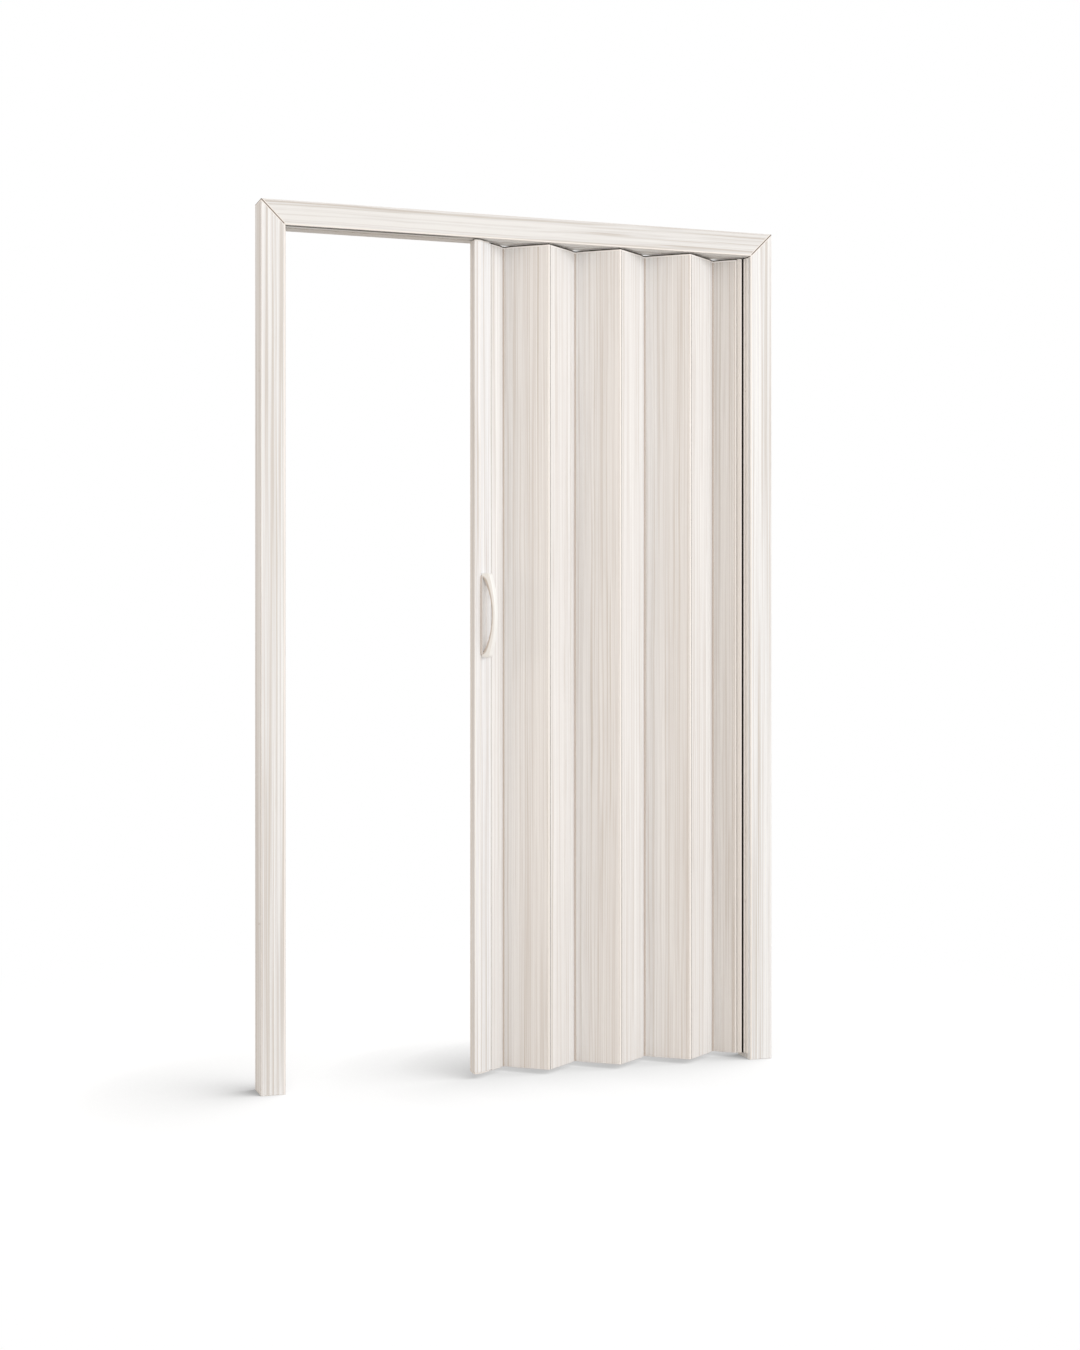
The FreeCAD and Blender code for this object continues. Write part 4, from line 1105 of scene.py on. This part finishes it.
# %% [markdown]
# The cross in the head is a plus sign with straight walls, a little smaller at its bottom.
# The flat top between the head's rim and the cross is filled with triangles, since no row of
# four-sided faces fits between a circle and a cross.
# %% Turn the screws
turned_points = 32
cross_reach = 0.55
cross_arm = 0.13
cross_depth = 0.6
cross_taper = 0.8


def cross_outline(reach, arm):
    """Twelve corners of a plus sign."""
    quarter = [(reach, -arm), (reach, arm), (arm, arm)]
    points = []
    for number in range(4):
        c = round(math.cos(number * math.pi / 2))
        s = round(math.sin(number * math.pi / 2))
        points += [(x * c - y * s, x * s + y * c) for x, y in quarter]
    return points


def edge_loop(bm, ring):
    """The edges round a ring of points, made where they are not there yet."""
    pairs = zip(ring, ring[1:] + ring[:1])
    return [bm.edges.get(pair) or bm.edges.new(pair) for pair in pairs]


def turned_screw(bm, places, axis):
    """Adds one screw to a mesh; the axis points from its shank to its head."""
    foot, head_radius, shank_radius, tip, under, head_top = screw_measures(places, axis)
    side = axis.orthogonal().normalized()
    cross = axis.cross(side)

    def spot(x, y, height):
        return foot + side * x + cross * y + axis * height

    def circle(radius, height):
        angles = [math.tau * number / turned_points for number in range(turned_points)]
        return [spot(radius * math.cos(angle), radius * math.sin(angle), height) for angle in angles]

    profile = screw_profile(head_radius, shank_radius, tip, under, head_top)
    rows = join_rings(bm, [circle(radius, height) for radius, height in profile], capped=False)
    bm.faces.new(rows[0])
    outline = cross_outline(head_radius * cross_reach, head_radius * cross_arm)
    floor_height = head_top - (head_top - under) * cross_depth
    rim = [bm.verts.new(spot(x, y, head_top)) for x, y in outline]
    pit = [bm.verts.new(spot(x * cross_taper, y * cross_taper, floor_height)) for x, y in outline]
    loops = edge_loop(bm, rows[-1]) + edge_loop(bm, rim)
    bmesh.ops.triangle_fill(bm, use_beauty=True, edges=loops)
    for number in range(len(rim)):
        after = (number + 1) % len(rim)
        bm.faces.new((rim[number], rim[after], pit[after], pit[number]))
    bm.faces.new(pit)


screw_axes = {
    "key_screws": Vector((0, 1, 0)),
    "strike_screws": Vector((1, 0, 0)),
    "anchor_screws": Vector((-1, 0, 0)),
    "track_screws": Vector((0, 0, -1)),
    "handle_bolts": -outward,
    "hanger_pin_1": upward,
    "hanger_pin_3": upward,
    "hanger_pin_5": upward,
    "hanger_bolt": upward,
}
for node, axis in screw_axes.items():
    bm = bmesh.new()
    for places in loose_pieces(frame["nodes"][node]):
        turned_screw(bm, places, axis)
    screws = make_piece(node + "_turned", bm, node, smooth=False)
    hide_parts(node)
print(len(screw_axes), "sets of screws turned")

# %% [markdown]
# The magnet strip in the closing edge sits in a thin pale sleeve, as such strips are sold.
# The sleeve is a shallow curved strip with two fine ribs, as long as the magnet. One outline
# is enough for it: the same ring at the magnet's two ends, skinned and closed.
# It moves with the post and takes the finish of the post's caps.
# %% Sleeve over the magnet
magnet_low, magnet_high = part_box("post_magnet")
sleeve_rise = 0.00025
sleeve_sink = 0.0001
sleeve_points = 25
sleeve_level = 0.65
sleeve_edge_slope = 6
rib_rise = 0.35
rib_off_middle = 0.3
rib_half = 0.03


def sleeve_ring(height):
    """The sleeve's outline at one height: its curved outer side, and its flat side behind."""
    outer_side = []
    for number in range(sleeve_points):
        share = number / (sleeve_points - 1)
        on_rib = abs(abs(share - 0.5) - rib_off_middle) < rib_half
        curve = min(1.0, sleeve_edge_slope * share, sleeve_edge_slope * (1 - share)) * sleeve_level
        bulge = sleeve_rise * (curve + rib_rise * on_rib)
        y = magnet_low[1] + share * (magnet_high[1] - magnet_low[1])
        outer_side.append(Vector((magnet_low[0] - bulge, y, height)))
    back = magnet_low[0] + sleeve_sink
    return outer_side + [Vector((back, spot.y, height)) for spot in reversed(outer_side)]


bm = bmesh.new()
join_rings(bm, [sleeve_ring(magnet_low[2]), sleeve_ring(magnet_high[2])])
make_piece("magnet_sleeve", bm, "post_cap_top", smooth=False)
print("sleeve", round(magnet_high[2] - magnet_low[2], 3), "m long")

# %% [markdown]
# The colours above are meant to be shown as they are, so the view adds no curve of its own.
# %% View settings
scene.view_settings.view_transform = "Standard"
